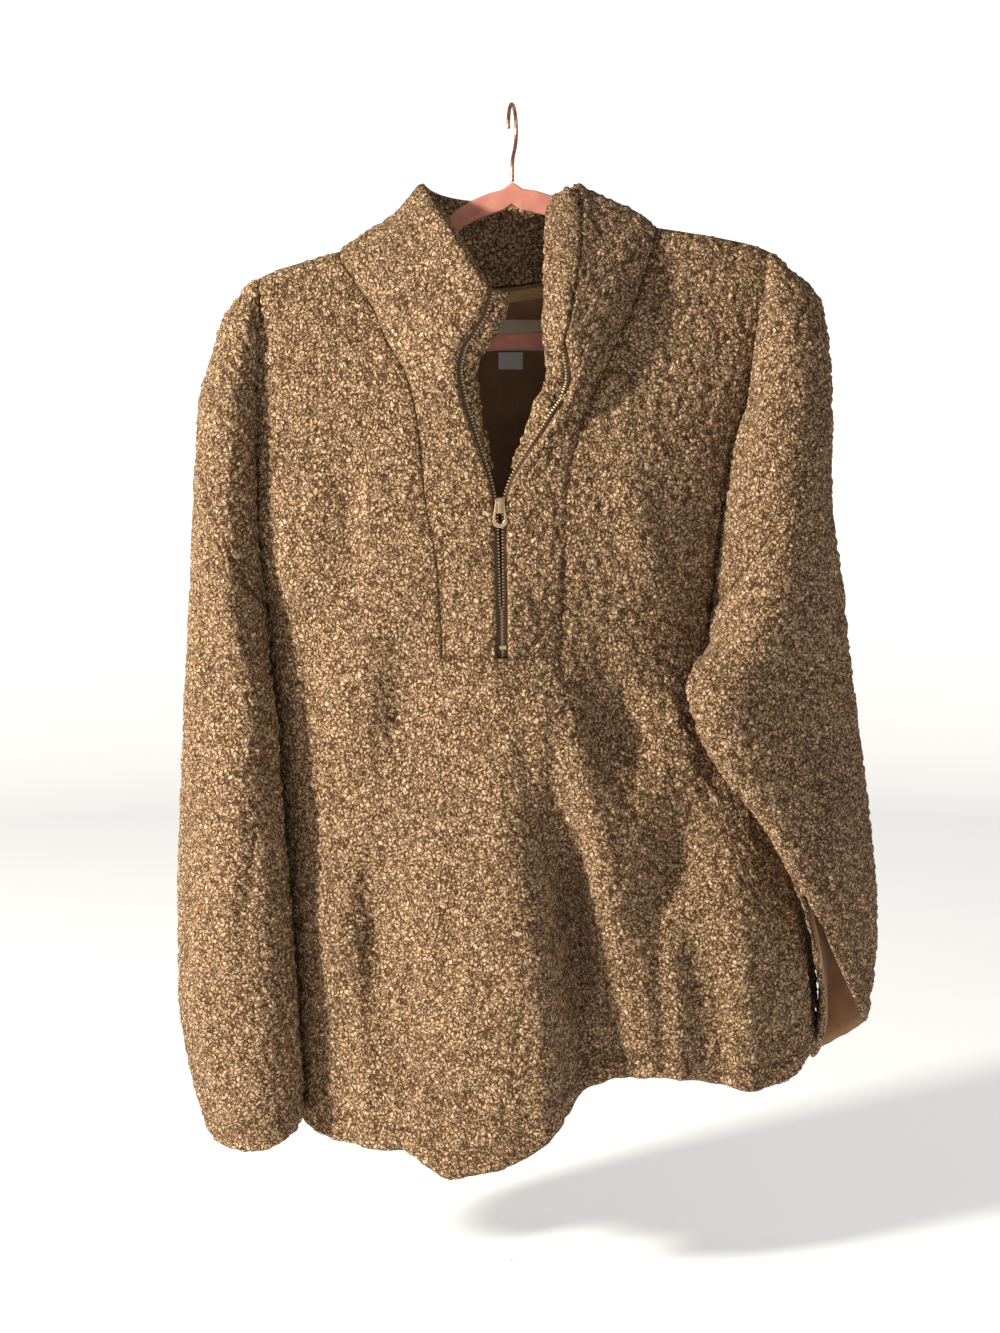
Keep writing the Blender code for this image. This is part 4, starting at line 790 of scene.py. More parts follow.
def in_millimetres(node, tree):
    """The object's own coordinates, in millimetres."""
    place = tree.nodes.new("ShaderNodeTexCoord").outputs["Object"]
    return node("ShaderNodeVectorMath", "SCALE", _0=place, _3=1000.0).outputs[0]


def ramp_of(node, factor, *stops):
    """A colour ramp through (place, colour) stops."""
    added = node("ShaderNodeValToRGB", Fac=factor)
    ramp = added.color_ramp
    while len(ramp.elements) < len(stops):
        ramp.elements.new(0.5)
    for element, (place, colour) in zip(ramp.elements, stops):
        element.position = place
        element.color = (*colour, 1.0)
    return added.outputs[0]


def bump_of(node, height, strength, distance):
    return node("ShaderNodeBump", Strength=strength, Distance=distance * MM, Height=height).outputs[0]


# The pile's colour by the clumps' height: painted shade in the gaps, the cloth's own colour between, and
# painted highlight on the tips.
GAP_SHADE_COLOUR = (0.08, 0.037, 0.015)
MID_COLOUR = (0.48, 0.3, 0.165)
TIP_HIGHLIGHT_COLOUR = (0.9, 0.68, 0.45)


def sherpa_material():
    """Curled pile: round and worm-like clumps, with painted highlight on their tips and painted shade in
    the gaps between them and along seams.
    """
    made, tree, shader, node = new_material("sherpa_pile")
    place = in_millimetres(node, tree)
    bent = place
    for fineness, sway in ((0.2, 6.0), (0.55, 2.2)):
        drift = node("ShaderNodeTexNoise", Vector=place, Scale=fineness, Detail=1.0).outputs["Color"]
        centred = node("ShaderNodeVectorMath", "SUBTRACT", _0=drift, _1=(0.5, 0.5, 0.5))
        curl = node("ShaderNodeVectorMath", "SCALE", _0=centred.outputs[0], _3=sway)
        bent = node("ShaderNodeVectorMath", _0=bent, _1=curl.outputs[0]).outputs[0]
    cells = node("ShaderNodeTexVoronoi", Vector=bent, Scale=0.3, Randomness=1.0)
    cells.feature = "DISTANCE_TO_EDGE"
    inwards = math_of(node, "MULTIPLY", cells.outputs["Distance"], 2.2)
    shoulder = math_of(node, "SUBTRACT", 1.0, math_of(node, "MINIMUM", inwards, 1.0))
    dome = math_of(node, "MULTIPLY_ADD", math_of(node, "MULTIPLY", shoulder, shoulder), -1.0, 1.0)
    fibre = node("ShaderNodeTexNoise", Vector=bent, Scale=0.42, Detail=3.0).outputs["Fac"]
    height = math_of(node, "MULTIPLY_ADD", fibre, 1.15, math_of(node, "MULTIPLY_ADD", dome, 0.5, -0.5))
    clump = node("ShaderNodeAttribute")
    clump.attribute_name = "pile"
    # Painted shade along the grooves of seams and the stitch line.
    groove_and_shade = node("ShaderNodeAttribute")
    groove_and_shade.attribute_name = "groove_and_shade"
    # The colour follows the clumps' height: painted shade in the gaps and painted highlight on the tips.
    tone = math_of(node, "MULTIPLY", height, 0.86)
    tone = math_of(node, "MULTIPLY_ADD", clump.outputs["Fac"], 0.16, tone)
    tone = math_of(node, "MULTIPLY_ADD", groove_and_shade.outputs["Fac"], -0.1, tone)
    colour = ramp_of(node, tone, (0.2, GAP_SHADE_COLOUR), (0.46, MID_COLOUR), (0.8, TIP_HIGHLIGHT_COLOUR))
    patch = node("ShaderNodeTexNoise", Vector=place, Scale=0.017, Detail=3.0).outputs["Fac"]
    shade = math_of(node, "MULTIPLY_ADD", patch, 0.36, 0.82)
    tinted = node("ShaderNodeVectorMath", "SCALE", _0=colour, _3=shade)
    tree.links.new(tinted.outputs[0], shader.inputs["Base Color"])
    tree.links.new(bump_of(node, height, 1.0, 3.2), shader.inputs["Normal"])
    shader.inputs["Roughness"].default_value = 0.9
    shader.inputs["Specular IOR Level"].default_value = 0.15
    shader.inputs["Sheen Weight"].default_value = 0.1
    shader.inputs["Sheen Roughness"].default_value = 0.5
    shader.inputs["Sheen Tint"].default_value = (1.0, 0.78, 0.55, 1.0)
    return made


KNIT_DARK = (0.17, 0.085, 0.038)
KNIT_MIDDLE = (0.32, 0.17, 0.082)
KNIT_LIGHT = (0.46, 0.265, 0.135)


def knit_material():
    """The backing: a smooth brushed knit with fine courses, seen inside the neck and cuffs."""
    made, tree, shader, node = new_material("knit_backing")
    place = in_millimetres(node, tree)
    courses = node("ShaderNodeTexWave", Vector=place, Scale=0.5, Distortion=2.5, Detail=2.0)
    courses.bands_direction = "Z"
    fuzz = node("ShaderNodeTexNoise", Vector=place, Scale=0.9, Detail=3.0).outputs["Fac"]
    patch = node("ShaderNodeTexNoise", Vector=place, Scale=0.05, Detail=3.0).outputs["Fac"]
    height = math_of(node, "MULTIPLY_ADD", courses.outputs["Fac"], 0.35, fuzz)
    tone = math_of(node, "MULTIPLY_ADD", fuzz, 0.6, math_of(node, "MULTIPLY", patch, 0.4))
    colour = ramp_of(node, tone, (0.25, KNIT_DARK), (0.6, KNIT_MIDDLE), (0.9, KNIT_LIGHT))
    tree.links.new(colour, shader.inputs["Base Color"])
    tree.links.new(bump_of(node, height, 0.5, 0.5), shader.inputs["Normal"])
    shader.inputs["Roughness"].default_value = 0.95
    shader.inputs["Sheen Weight"].default_value = 0.15
    return made


sherpa = sherpa_material()
knit = knit_material()


def edge_of(sheet, *, last_row=False, last_column=False):
    """Marks the points of a sheet that lie on its turned edges."""
    marked = np.zeros(sheet.shape[:2], bool)
    if last_row:
        marked[-1] = True
    if last_column:
        marked[:, -1] = True
    return marked


turned = edge_of(back_panel, last_row=True)
back_cloth = cloth("back_pile", back_panel, back_cells, True, free=turned, stitch=STITCH_UP)
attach(back_cloth, "jacket")
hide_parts("back_panel")


# ---------------------------------------------------------------------------
# Bib and collar, left and right
#
# Each half is cut in one, from the seam at the foot of the placket to the top of the collar,
# in the same pile. They are sewn to the front and meet along the zip. The front is made here
# as well, because its edge under the bib follows the two halves.
# ---------------------------------------------------------------------------

COLLAR_ROWS = 27

# The collar's outline above the shoulder seam, from the seam to the top edge.
NECK_LEFT = table(
    "share x level",
    (0, -134, -118),
    (0.2, -121, -106),
    (0.45, -102, -93),
    (0.62, -90, -84),
    (0.8, -81, -72),
    (1, -71, -58),
)
NECK_RIGHT = table(
    "share x level",
    (0, 113, -94),
    (0.3, 100, -83),
    (0.55, 82, -74),
    (0.8, 63, -66),
    (1, 49, -58),
)
# The edge of each half along the zip. station: 0 at the bib's foot, 1 at the underarm's
# level, 2 where the seam side reaches the shoulder, 3 at the top edge.
ZIP_LEFT = table(
    "station x y level",
    (0, -12, -74, -425),
    (1, -12.6, -73, -390),
    (1.24, -14.2, -71, -325),
    (1.3, -15, -70, -308),
    (1.36, -17.5, -70, -293),
    (1.5, -27, -70, -264),
    (1.66, -38, -71, -232),
    (1.82, -43, -72, -207),
    (2, -40, -74, -190),
    (2.3, -31, -76, -176),
    (2.65, -22, -78, -160),
    (3, -18, -78, -144),
)
ZIP_RIGHT = table(
    "station x y level",
    (0, -2.6, -74, -425),
    (1, -3.2, -73, -390),
    (1.24, -4.4, -71, -325),
    (1.3, -4.6, -70, -308),
    (1.36, -1, -70, -293),
    (1.46, 12, -70, -271),
    (1.6, 28, -70, -250),
    (1.78, 42, -71, -230),
    (2, 46, -73, -216),
    (2.5, 44, -75, -199),
    (3, 40, -76, -181),
)
# How far each half bulges between its seam and the zip: sideways, forwards and up.
BULGE = table(
    "station sideways forwards up",
    (0, 0, 0, 0),
    (1.3, 0, 1, 0),
    (1.7, 2, 4, 0),
    (2, 4, 6, 2),
    (2.5, 7, 10, 6),
    (3, 8, 12, 9),
)


def bib_sheet(side, seam_points, columns, stations):
    """One half of the bib and collar, from its seam to the zip, row by row from the foot up."""
    zip_edge = ZIP_LEFT if side < 0 else ZIP_RIGHT
    across = np.linspace(0, 1, columns + 1)[None] ** 1.25
    edge = [smooth(zip_edge["station"], zip_edge[k], stations) for k in ("x", "y", "level")]
    edge = np.stack(edge, axis=-1)
    x = mix(seam_points[:, :1], edge[:, :1], across)
    level = mix(seam_points[:, 2:], edge[:, 2:], across)
    # The cloth turns forward at once below the shoulder seam and the neck's outline.
    seam_level = seam_points[:, 2:]
    spring = trunk_depth(FRONT, FRONT_FOLDS, seam_points[:, :1], seam_level)
    above = np.clip(stations[:, None] - 2, 0, 1)
    spring = np.where(above > 0, spring[stations <= 2][-1] * (1 - above * 0.6), spring)
    top = np.maximum(seam_level, seam_level[stations <= 2][-1])
    turned = turned_over((top - level) / (1 + 1.5 * above))
    straight = mix(-spring, edge[:, 1:2], across) + spring * (1 - turned)
    # Low down, the bib lies in the surface of the front; higher up it stands free.
    in_front = -trunk_depth(FRONT, FRONT_FOLDS, x, level)
    start, end = in_front[:, :1], in_front[:, -1:]
    shaped = in_front + mix(seam_points[:, 1:2] - start, edge[:, 1:2] - end, across)
    free = ease((stations[:, None] - 1.1) / 0.6)
    arch = 4 * across * (1 - across)
    sideways = smooth(BULGE["station"], BULGE["sideways"], stations)[:, None] * arch
    forwards = smooth(BULGE["station"], BULGE["forwards"], stations)[:, None] * arch
    up = smooth(BULGE["station"], BULGE["up"], stations)[:, None] * arch
    y = mix(shaped, straight, free) - forwards
    return np.stack([x + side * sideways, y, level + up], axis=-1)


def neck_outline(side, shares):
    outline = NECK_LEFT if side < 0 else NECK_RIGHT
    x = smooth(outline["share"], outline["x"], shares)
    level = smooth(outline["share"], outline["level"], shares)
    return np.stack([x, np.zeros_like(x), level], axis=-1)


# Stations of the bib's rows: from its foot to the underarm, the shoulder and the top edge.
foot_stations = np.linspace(0, 1, BIB_FOOT_ROWS + 1)[:-1]
upper_stations = 2 - np.linspace(0, 1, UPPER_ROWS + 1)[::-1]
collar_shares = np.linspace(0, 1, COLLAR_ROWS + 1)[1:]
bib_stations = np.concatenate([foot_stations, upper_stations, 2 + collar_shares])
bib_halves = {}
for name, side, column in (("left", -1, bib_start), ("right", 1, bib_end)):
    seam = front_panel[: bib_foot_row + 1, column][::-1]
    outline = neck_outline(side, collar_shares)
    slip = seam[-1] - neck_outline(side, np.zeros(1))[0]
    outline = outline + slip * (1 - collar_shares)[:, None]
    bib_halves[name] = bib_sheet(side, np.concatenate([seam, outline]), BIB_CELLS, bib_stations)

# Below the bib's foot the front's middle columns start from the bib's own points.
FOOT_BLEND_ROWS = 48
foot_edge = np.concatenate([bib_halves["left"][0], bib_halves["right"][0, ::-1][1:]])
for k in range(1, middle_cells):
    column = bib_start + k
    offset = foot_edge[k] - front_panel[bib_foot_row, column]
    for row in range(bib_foot_row, bib_foot_row + FOOT_BLEND_ROWS):
        front_panel[row, column] += offset * (1 - ease((row - bib_foot_row) / FOOT_BLEND_ROWS))

turned = edge_of(front_panel, last_row=True)
front_cloth = cloth("front_pile", front_panel, front_cells, False, free=turned, stitch=STITCH_UP)
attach(front_cloth, "jacket")
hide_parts("front_panel")

for name, flip in (("left", True), ("right", False)):
    sheet = bib_halves[name]
    every_cell = np.ones((len(sheet) - 1, sheet.shape[1] - 1), bool)
    turned = edge_of(sheet, last_row=True, last_column=True)
    half = cloth("bib_collar_pile_" + name, sheet, every_cell, flip, free=turned, step=1)
    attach(half, "jacket")
    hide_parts("bib_collar_" + name)


# ---------------------------------------------------------------------------
# Back collar
#
# One piece between the two halves, round the nape, with pile on both faces. It stands on the
# neck seam and leans on the hanger's shoulders at its ends.
# ---------------------------------------------------------------------------

COLLAR_WALL = 12.0
COLLAR_TOP_DEPTH = 47.0  # how far the top edge's middle lies behind its ends
COLLAR_TOP_DIP = 14.0  # and below them

collar_back = []
for row in range(COLLAR_ROWS + 1):
    share = row / COLLAR_ROWS
    left = bib_halves["left"][bib_foot_row + row, 0]
    right = bib_halves["right"][bib_foot_row + row, 0]
    depth = mix(NAPE_DEPTH, COLLAR_TOP_DEPTH, share)
    dip = mix(NAPE_DIP, COLLAR_TOP_DIP, share)
    collar_back.append(round_the_nape(left, right, middle_cells, depth, dip))
collar_back = np.array(collar_back)
collar_back[0] = back_panel[0, bib_start : bib_end + 1]
nape_share = np.sin(np.pi * np.arange(middle_cells + 1) / middle_cells)[None]
nape_share = nape_share * ease(np.linspace(0, 2, COLLAR_ROWS + 1))[:, None]
nape_wall = mix(WALL, COLLAR_WALL, nape_share)
every_cell = np.ones((COLLAR_ROWS, middle_cells), bool)
turned = edge_of(collar_back, last_row=True)
nape = cloth("collar_back_pile", collar_back, every_cell, False, free=turned, wall=nape_wall, step=1)
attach(nape, "jacket")
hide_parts("collar_back")


# ---------------------------------------------------------------------------
# Zip facings
#
# The second layer of pile inside each open edge of the zip. It is the collar's cloth turned in,
# so it rolls out past the teeth and hides their tape from inside.
# ---------------------------------------------------------------------------

# inward: how far the facing reaches past the zip's edge into the opening. deep: how far its
# free edge lies behind the zip.
FACING = table(
    "station inward deep",
    (1.3, 4, 6),
    (1.45, 8, 9),
    (1.7, 12, 11),
    (2, 14, 11),
    (2.5, 15, 9),
    (3, 14, 7),
)
FACING_START = 1.4
FACING_BEHIND = 8.0  # from the pile's face to the facing
FACING_WALL = 5.0
COLLAR_FACING_WALL = 9.0
CURL_COLUMNS = 9
FACING_COLLAR_COLUMN = 12  # the bib's column where it starts on the collar
FACING_BIB_COLUMN = 27  # and lower down
COLLAR_STATION = 1.95  # where it passes from the bib to the collar


def zip_frame(side, stations):
    """Points on the zip's edge, with the directions out of the cloth's edge and into its back."""
    seam = bib_halves["left" if side < 0 else "right"]
    order = np.arange(len(bib_stations), dtype=float)
    row = np.interp(stations, bib_stations, order)
    edge = ZIP_LEFT if side < 0 else ZIP_RIGHT
    points = [smooth(edge["station"], edge[k], stations) for k in ("x", "y", "level")]
    points = np.stack(points, axis=-1)
    last = seam[:, -1] - seam[:, -2]
    last = np.stack([np.interp(row, order, last[:, k]) for k in range(3)], -1)
    run = np.gradient(points, axis=0)
    run = run / np.linalg.norm(run, axis=1, keepdims=True)
    out = last - run * np.sum(last * run, axis=1, keepdims=True)
    out = out / np.linalg.norm(out, axis=1, keepdims=True)
    behind = np.cross(run, out)
    behind = behind * np.sign(behind[:, 1:2])
    return points, out, behind


def facing_sheet(side):
    """The bib's own points moved in, and more columns where the free edge curls into the opening."""
    sheet = bib_halves["left" if side < 0 else "right"]
    cells = np.ones((len(sheet) - 1, sheet.shape[1] - 1), bool)
    quads = sheet_quads(sheet.shape, cells, False, side < 0)
    normals = sheet_normals(sheet.reshape(-1, 3), quads).reshape(sheet.shape)
    inside = sheet - normals * FACING_BEHIND
    kept = bib_stations >= FACING_START
    stations = bib_stations[kept]
    points, out, behind = zip_frame(side, stations)
    inward = smooth(FACING["station"], FACING["inward"], stations)[:, None]
    deep = smooth(FACING["station"], FACING["deep"], stations)[:, None]
    edge = inside[kept, -1]
    curl = []
    for k in range(1, CURL_COLUMNS + 1):
        t = k / CURL_COLUMNS
        curl.append(edge + out * inward * t + behind * deep * t**2.3)
    return np.concatenate([inside[kept], np.stack(curl, axis=1)], axis=1), stations


# The right collar's top edge, from near its peak down to the zip's end, where the facing rolls out
# to the left in a soft band. The columns are shares of the bib's top row.
ROLL_BAND = table(
    "share inner bulge deep",
    (0.13, 39, 1, 3),
    (0.22, 31, 4, 8),
    (0.36, 25, 6, 12),
    (0.62, 23, 6, 14),
    (1.00, 22, 5, 15),
    (1.12, 24, 2, 17),
)
BAND_ROWS = 66
BAND_COLUMNS = 15
BAND_WALL = 6.0
PAST_ZIP_END = np.array([-8.0, 50.0, -130.0])  # the band's way on, for each unit of share past 1


def roll_band():
    """The band's points, from the zip's end upwards, each row from the opening to the collar's edge."""
    top = bib_halves["right"][-1]
    share = np.linspace(ROLL_BAND["share"][-1], ROLL_BAND["share"][0], BAND_ROWS + 1)
    held = np.minimum(share, 1) * BIB_CELLS
    edge = np.stack([np.interp(held, np.arange(len(top)), top[:, k]) for k in range(3)], axis=1)
    beyond = np.maximum(share - 1, 0)[:, None]
    edge = edge + beyond * PAST_ZIP_END
    inner, bulge, deep = (
        smooth(ROLL_BAND["share"], ROLL_BAND[key], share)[:, None] for key in ("inner", "bulge", "deep")
    )
    t = np.linspace(1, 0, BAND_COLUMNS + 1)[None]
    x = mix(edge[:, :1], inner, t)
    y = edge[:, 1:2] + 1.5 + deep * t**1.5 - bulge * np.sin(np.pi * t) ** 0.8
    z = edge[:, 2:3] + 1.5 * np.sin(np.pi * t)
    return np.stack([x, y, z], axis=-1)


def joined_to(made, other):
    """Adds another object's mesh to the first one's."""
    with bpy.context.temp_override(active_object=made, selected_editable_objects=[made, other]):
        bpy.ops.object.join()


for name, side in (("left", -1), ("right", 1)):
    sheet, stations = facing_sheet(side)
    thick = mix(FACING_WALL, COLLAR_FACING_WALL, ease((stations - 1.9) / 0.4))[:, None]
    collar_start = int(np.searchsorted(stations, COLLAR_STATION))
    covered = np.ones((len(sheet) - 1, sheet.shape[1] - 1), bool)
    covered[:collar_start, :FACING_BIB_COLUMN] = False
    covered[collar_start:, :FACING_COLLAR_COLUMN] = False
    turned = edge_of(sheet, last_row=True, last_column=True)
    thick = thick * np.ones(sheet.shape[1])
    facing = cloth("facing_pile_" + name, sheet, covered, side < 0, free=turned, wall=thick, step=1)
    if name == "right":
        band = roll_band()
        every_cell = np.ones((BAND_ROWS, BAND_COLUMNS), bool)
        turned = np.ones(band.shape[:2], bool)
        joined_to(facing, cloth("band", band, every_cell, True, free=turned, wall=BAND_WALL, step=1))
    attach(facing, "jacket")
    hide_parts("facing_" + name)
    area = 0.0095 if side < 0 else 0.0135


# ---------------------------------------------------------------------------
# Sleeves
#
# Long straight tubes of the same pile, set in at a dropped armhole. The cuffs are turned in once
# and stitched, with no rib. The right one hangs bent forwards.
# ---------------------------------------------------------------------------

SLEEVE_ROWS = {"left": 222, "right": 207}
ARMHOLE_HOLD = 0.3  # the share of the sleeve over which it lets go of the armhole's curve

# Each ring has an outer and an inner point. front, back: how far it swells to each side of
# the line between them. front_drop, back_drop: how much lower those sides lie there.
# lean, skew: how far the back side leans in, and how far its halves shear along the line, with
# skew_rise as the lift for each millimetre of that.
RING_COLUMNS = (
    "station outer_x outer_y outer_z inner_x inner_y inner_z front back front_drop back_drop lean"
    " skew skew_rise"
)
RINGS_LEFT = table(
    RING_COLUMNS,
    (0.00, -248, 0, -264, -194, 0, -390, 45, 69, 0, 0, 0, 0, 0),
    (0.12, -252, 0, -325, -193, -16, -432, 44, 74, 0, 0, 0, -9, 0),
    (0.26, -256, 0, -400, -187, -29, -472, 46, 74, 0, 0, 0, -12, 0),
    (0.40, -261, 0, -475, -183, -34, -526, 48, 72, 0, 0, 0, -12, 0),
    (0.54, -265, 0, -550, -179, -36, -585, 50, 68, 0, 0, 0, -11, 0),
    (0.68, -268, 0, -625, -175, -36, -648, 51, 66, 2, 0, 0, -10, 0),
    (0.82, -268, -2, -700, -171, -36, -714, 52, 64, 6, -2, 0, -10, 0),
    (0.93, -260, -4, -762, -168, -36, -768, 50, 60, 12, -5, 0, -9, 0),
    (1.00, -247, -6, -806, -167, -36, -796, 46, 56, 16, -8, 0, -8, 0),
)
RINGS_RIGHT = table(
    RING_COLUMNS,
    (0.00, 251, 0, -229, 158, 0, -390, 56, 41, 0, 0, 0, 0, 0),
    (0.14, 252, 0, -300, 156, -23, -420, 52, 32, 0, 0, 0, 6.5, 0),
    (0.28, 262, -4, -380, 141, -62, -432, 42, 20, 0, 0, 0, 5, 0),
    (0.42, 270, -8, -448, 134, -86, -449, 36, 15, 0, 0, 0, 3, 0),
    (0.55, 279, -8, -512, 148, -90, -493, 34, 20, 0, 0, 0, 2, 0),
    (0.70, 288, -6, -580, 190, -87, -548, 30, 32, 0, 16, 4, 4, -0.9),
    (0.86, 294, 0, -655, 217, -76, -592, 26, 46, 0, 52, -2, 14, -0.9),
    (1.00, 289, 4, -730, 227, -66, -608, 22, 58, 0, 96, -9, 20, -0.9),
)
# Folds along the sleeves. turn: 0 at the outer fold, 0.25 in front, 0.5 at the inner fold.
SLEEVE_FOLD_COLUMNS = "turn_top station_top turn_foot station_foot width rise"
SLEEVE_FOLDS_LEFT = table(
    SLEEVE_FOLD_COLUMNS,
    (0.14, 0.10, 0.30, 0.45, 0.07, -6),
    (0.32, 0.22, 0.22, 0.75, 0.07, 4),
    (0.70, 0.20, 0.62, 0.60, 0.08, -7),
    (0.80, 0.30, 0.86, 0.88, 0.08, 5),
)
SLEEVE_FOLDS_RIGHT = table(
    SLEEVE_FOLD_COLUMNS,
    (0.12, 0.25, 0.22, 0.65, 0.07, -8),
    (0.30, 0.25, 0.36, 0.60, 0.06, 6),
    (0.20, 0.50, 0.12, 0.92, 0.07, 5),
    (0.80, 0.25, 0.72, 0.70, 0.08, -5),
)
# The smaller creases between those folds.
SLEEVE_CREASES_LEFT = table(
    SLEEVE_FOLD_COLUMNS,
    (0.18, 0.05, 0.34, 0.30, 0.03, -3),
    (0.10, 0.30, 0.16, 0.62, 0.03, 3),
    (0.34, 0.45, 0.28, 0.80, 0.03, -3),
    (0.14, 0.66, 0.20, 0.98, 0.03, 3),
    (0.40, 0.20, 0.44, 0.55, 0.03, -3),
    (0.66, 0.35, 0.74, 0.75, 0.04, -3),
    (0.88, 0.10, 0.80, 0.45, 0.04, 3),
)
SLEEVE_CREASES_RIGHT = table(
    SLEEVE_FOLD_COLUMNS,
    (0.22, 0.30, 0.30, 0.55, 0.03, -4),
    (0.30, 0.44, 0.18, 0.62, 0.03, 4),
    (0.16, 0.48, 0.10, 0.80, 0.03, -3),
    (0.26, 0.60, 0.24, 0.96, 0.03, 3),
    (0.36, 0.10, 0.40, 0.36, 0.03, -3),
    (0.70, 0.30, 0.66, 0.60, 0.04, 3),
)


def sleeve_sheet(rings, folds, armhole, rows):
    """A sleeve from the armhole's ring of points to the cuff."""
    around = len(armhole)
    angle = 2 * np.pi * np.arange(around)[None] / around
    station = np.linspace(0, 1, rows + 1)[:, None]
    at = {name: smooth(rings["station"], column, station) for name, column in rings.items()}

    def ring(values):
        middle = [(values["outer_" + k] + values["inner_" + k]) / 2 for k in "xyz"]
        reach = [(values["outer_" + k] - values["inner_" + k]) / 2 for k in "xyz"]
        front, back = np.clip(np.sin(angle), 0, 1), np.clip(-np.sin(angle), 0, 1)
        shear = values["skew"] * np.clip(np.sin(angle), -1, 0) * 2 * np.cos(angle)
        x = middle[0] + reach[0] * np.cos(angle) + values["lean"] * back + shear
        y = middle[1] + reach[1] * np.cos(angle) - values["front"] * front + values["back"] * back
        z = middle[2] + reach[2] * np.cos(angle) - values["front_drop"] * front
        z = z - values["back_drop"] * back + values["skew_rise"] * shear
        return np.stack([x, y, z], axis=-1), np.stack(middle, axis=-1)

    points, middle = ring(at)
    outward = points - middle
    outward = outward / np.linalg.norm(outward, axis=-1, keepdims=True)
    turn = angle / (2 * np.pi)
    for k in range(len(folds["width"])):
        fold = {name: column[k] for name, column in folds.items()}
        along = (station - fold["station_top"]) / (fold["station_foot"] - fold["station_top"])
        away = turn - mix(fold["turn_top"], fold["turn_foot"], along)
        strength = ease(along / 0.4) * ease((1 - along) / 0.4)
        lift = fold["rise"] * strength * np.exp(-((away / fold["width"]) ** 2))
        points = points + outward * lift[..., None]
    # The first rings follow the armhole's own curve and let go of it further down.
    hold = (1 - ease(station / ARMHOLE_HOLD))[..., None]
    return points + (armhole - points[0])[None] * hold


folds_left = together(SLEEVE_FOLDS_LEFT, SLEEVE_CREASES_LEFT)
folds_right = together(SLEEVE_FOLDS_RIGHT, SLEEVE_CREASES_RIGHT)
sleeve_parts = (
    ("left", RINGS_LEFT, folds_left, False, (0.36, 0.56), 0.145),
    ("right", RINGS_RIGHT, folds_right, True, (0.33, 0.53), 0.115),
)
for name, rings, folds, flip, flat, area in sleeve_parts:
    armhole = np.concatenate([arm_sheets[name, "front"][-1], arm_sheets[name, "back"][-1][-2:0:-1]])
    sheet = sleeve_sheet(rings, folds, armhole, SLEEVE_ROWS[name])
    every_cell = np.ones((len(sheet) - 1, sheet.shape[1]), bool)
    turned = edge_of(sheet, last_row=True)
    name_of_tube = "sleeve_pile_" + name
    tube = cloth(name_of_tube, sheet, every_cell, flip, closed=True, free=turned, stitch=STITCH_UP)
    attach(tube, "jacket")
    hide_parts("sleeve_" + name)


# ---------------------------------------------------------------------------
# Zip tapes and teeth
#
# A woven brown tape is sewn in behind each edge, with pale moulded teeth along it. The teeth lock
# below the slider and part above it.
# ---------------------------------------------------------------------------

TAPE_BEHIND = 5.8
TAPE_WALL = 0.8
TAPE_COVERED = 5.0
TAPE_COLUMNS = 8
TAPE_ROWS = 180
TAPE_STATIONS = (0.04, 2.94)
TEETH_STATIONS = (0.03, 2.94)
TOOTH_PITCH = 2.5
TOOTH_SIZE = (2.3, 1.55, 2.2)  # out of the tape's edge, along it, and through it
TOOTH_ROUNDING = 0.22
# How far the tape's edge and the teeth's middles stand out from the pile's edge: closed below the
# slider, and apart above it.
STANDING_OUT = table(
    "station tape teeth",
    (0, 3.3, 3.1),
    (1.27, 3.3, 3.1),
    (1.33, 2.6, 2.5),
    (3, 2.6, 2.5),
)


def woven_material(name, dark, light, pitch):
    """A plain twill weave: fine slanting ribs crossed by threads."""
    made, tree, shader, node = new_material(name)
    place = in_millimetres(node, tree)
    ribs = node("ShaderNodeTexWave", Vector=place, Scale=0.31 / pitch, Distortion=0.4)
    ribs.bands_direction = "DIAGONAL"
    cross = node("ShaderNodeTexWave", Vector=place, Scale=0.31 / pitch, Distortion=0.4)
    cross.bands_direction = "Z"
    wear = node("ShaderNodeTexNoise", Vector=place, Scale=0.25, Detail=3.0).outputs["Fac"]
    height = math_of(node, "MULTIPLY", ribs.outputs["Fac"], cross.outputs["Fac"])
    tone = math_of(node, "MULTIPLY_ADD", wear, 0.5, math_of(node, "MULTIPLY", height, 0.6))
    tree.links.new(ramp_of(node, tone, (0.15, dark), (0.85, light)), shader.inputs["Base Color"])
    tree.links.new(bump_of(node, height, 0.5, 0.25), shader.inputs["Normal"])
    shader.inputs["Roughness"].default_value = 0.85
    return made


def solid_strip(name, lines, thickness, made_of, flip=False):
    """A closed strip through lines of points of the same length, thickened along a direction."""
    sheet = np.stack(lines, axis=1)
    rows, columns = sheet.shape[:2]
    index = np.arange(rows * columns).reshape(rows, columns)
    size = rows * columns
    quads = sheet_quads(sheet.shape, np.ones((rows - 1, columns - 1), bool), False, flip)
    faces = quads.tolist() + (quads[:, ::-1] + size).tolist()
    faces += [(b, a, a + size, b + size) for a, b in outline_edges(quads).tolist()]
    points = np.concatenate([sheet.reshape(-1, 3), (sheet + thickness).reshape(-1, 3)])
    made = new_object(name, points * MM, faces, made_of)
    made.data.set_sharp_from_angle(angle=math.radians(50))
    return made


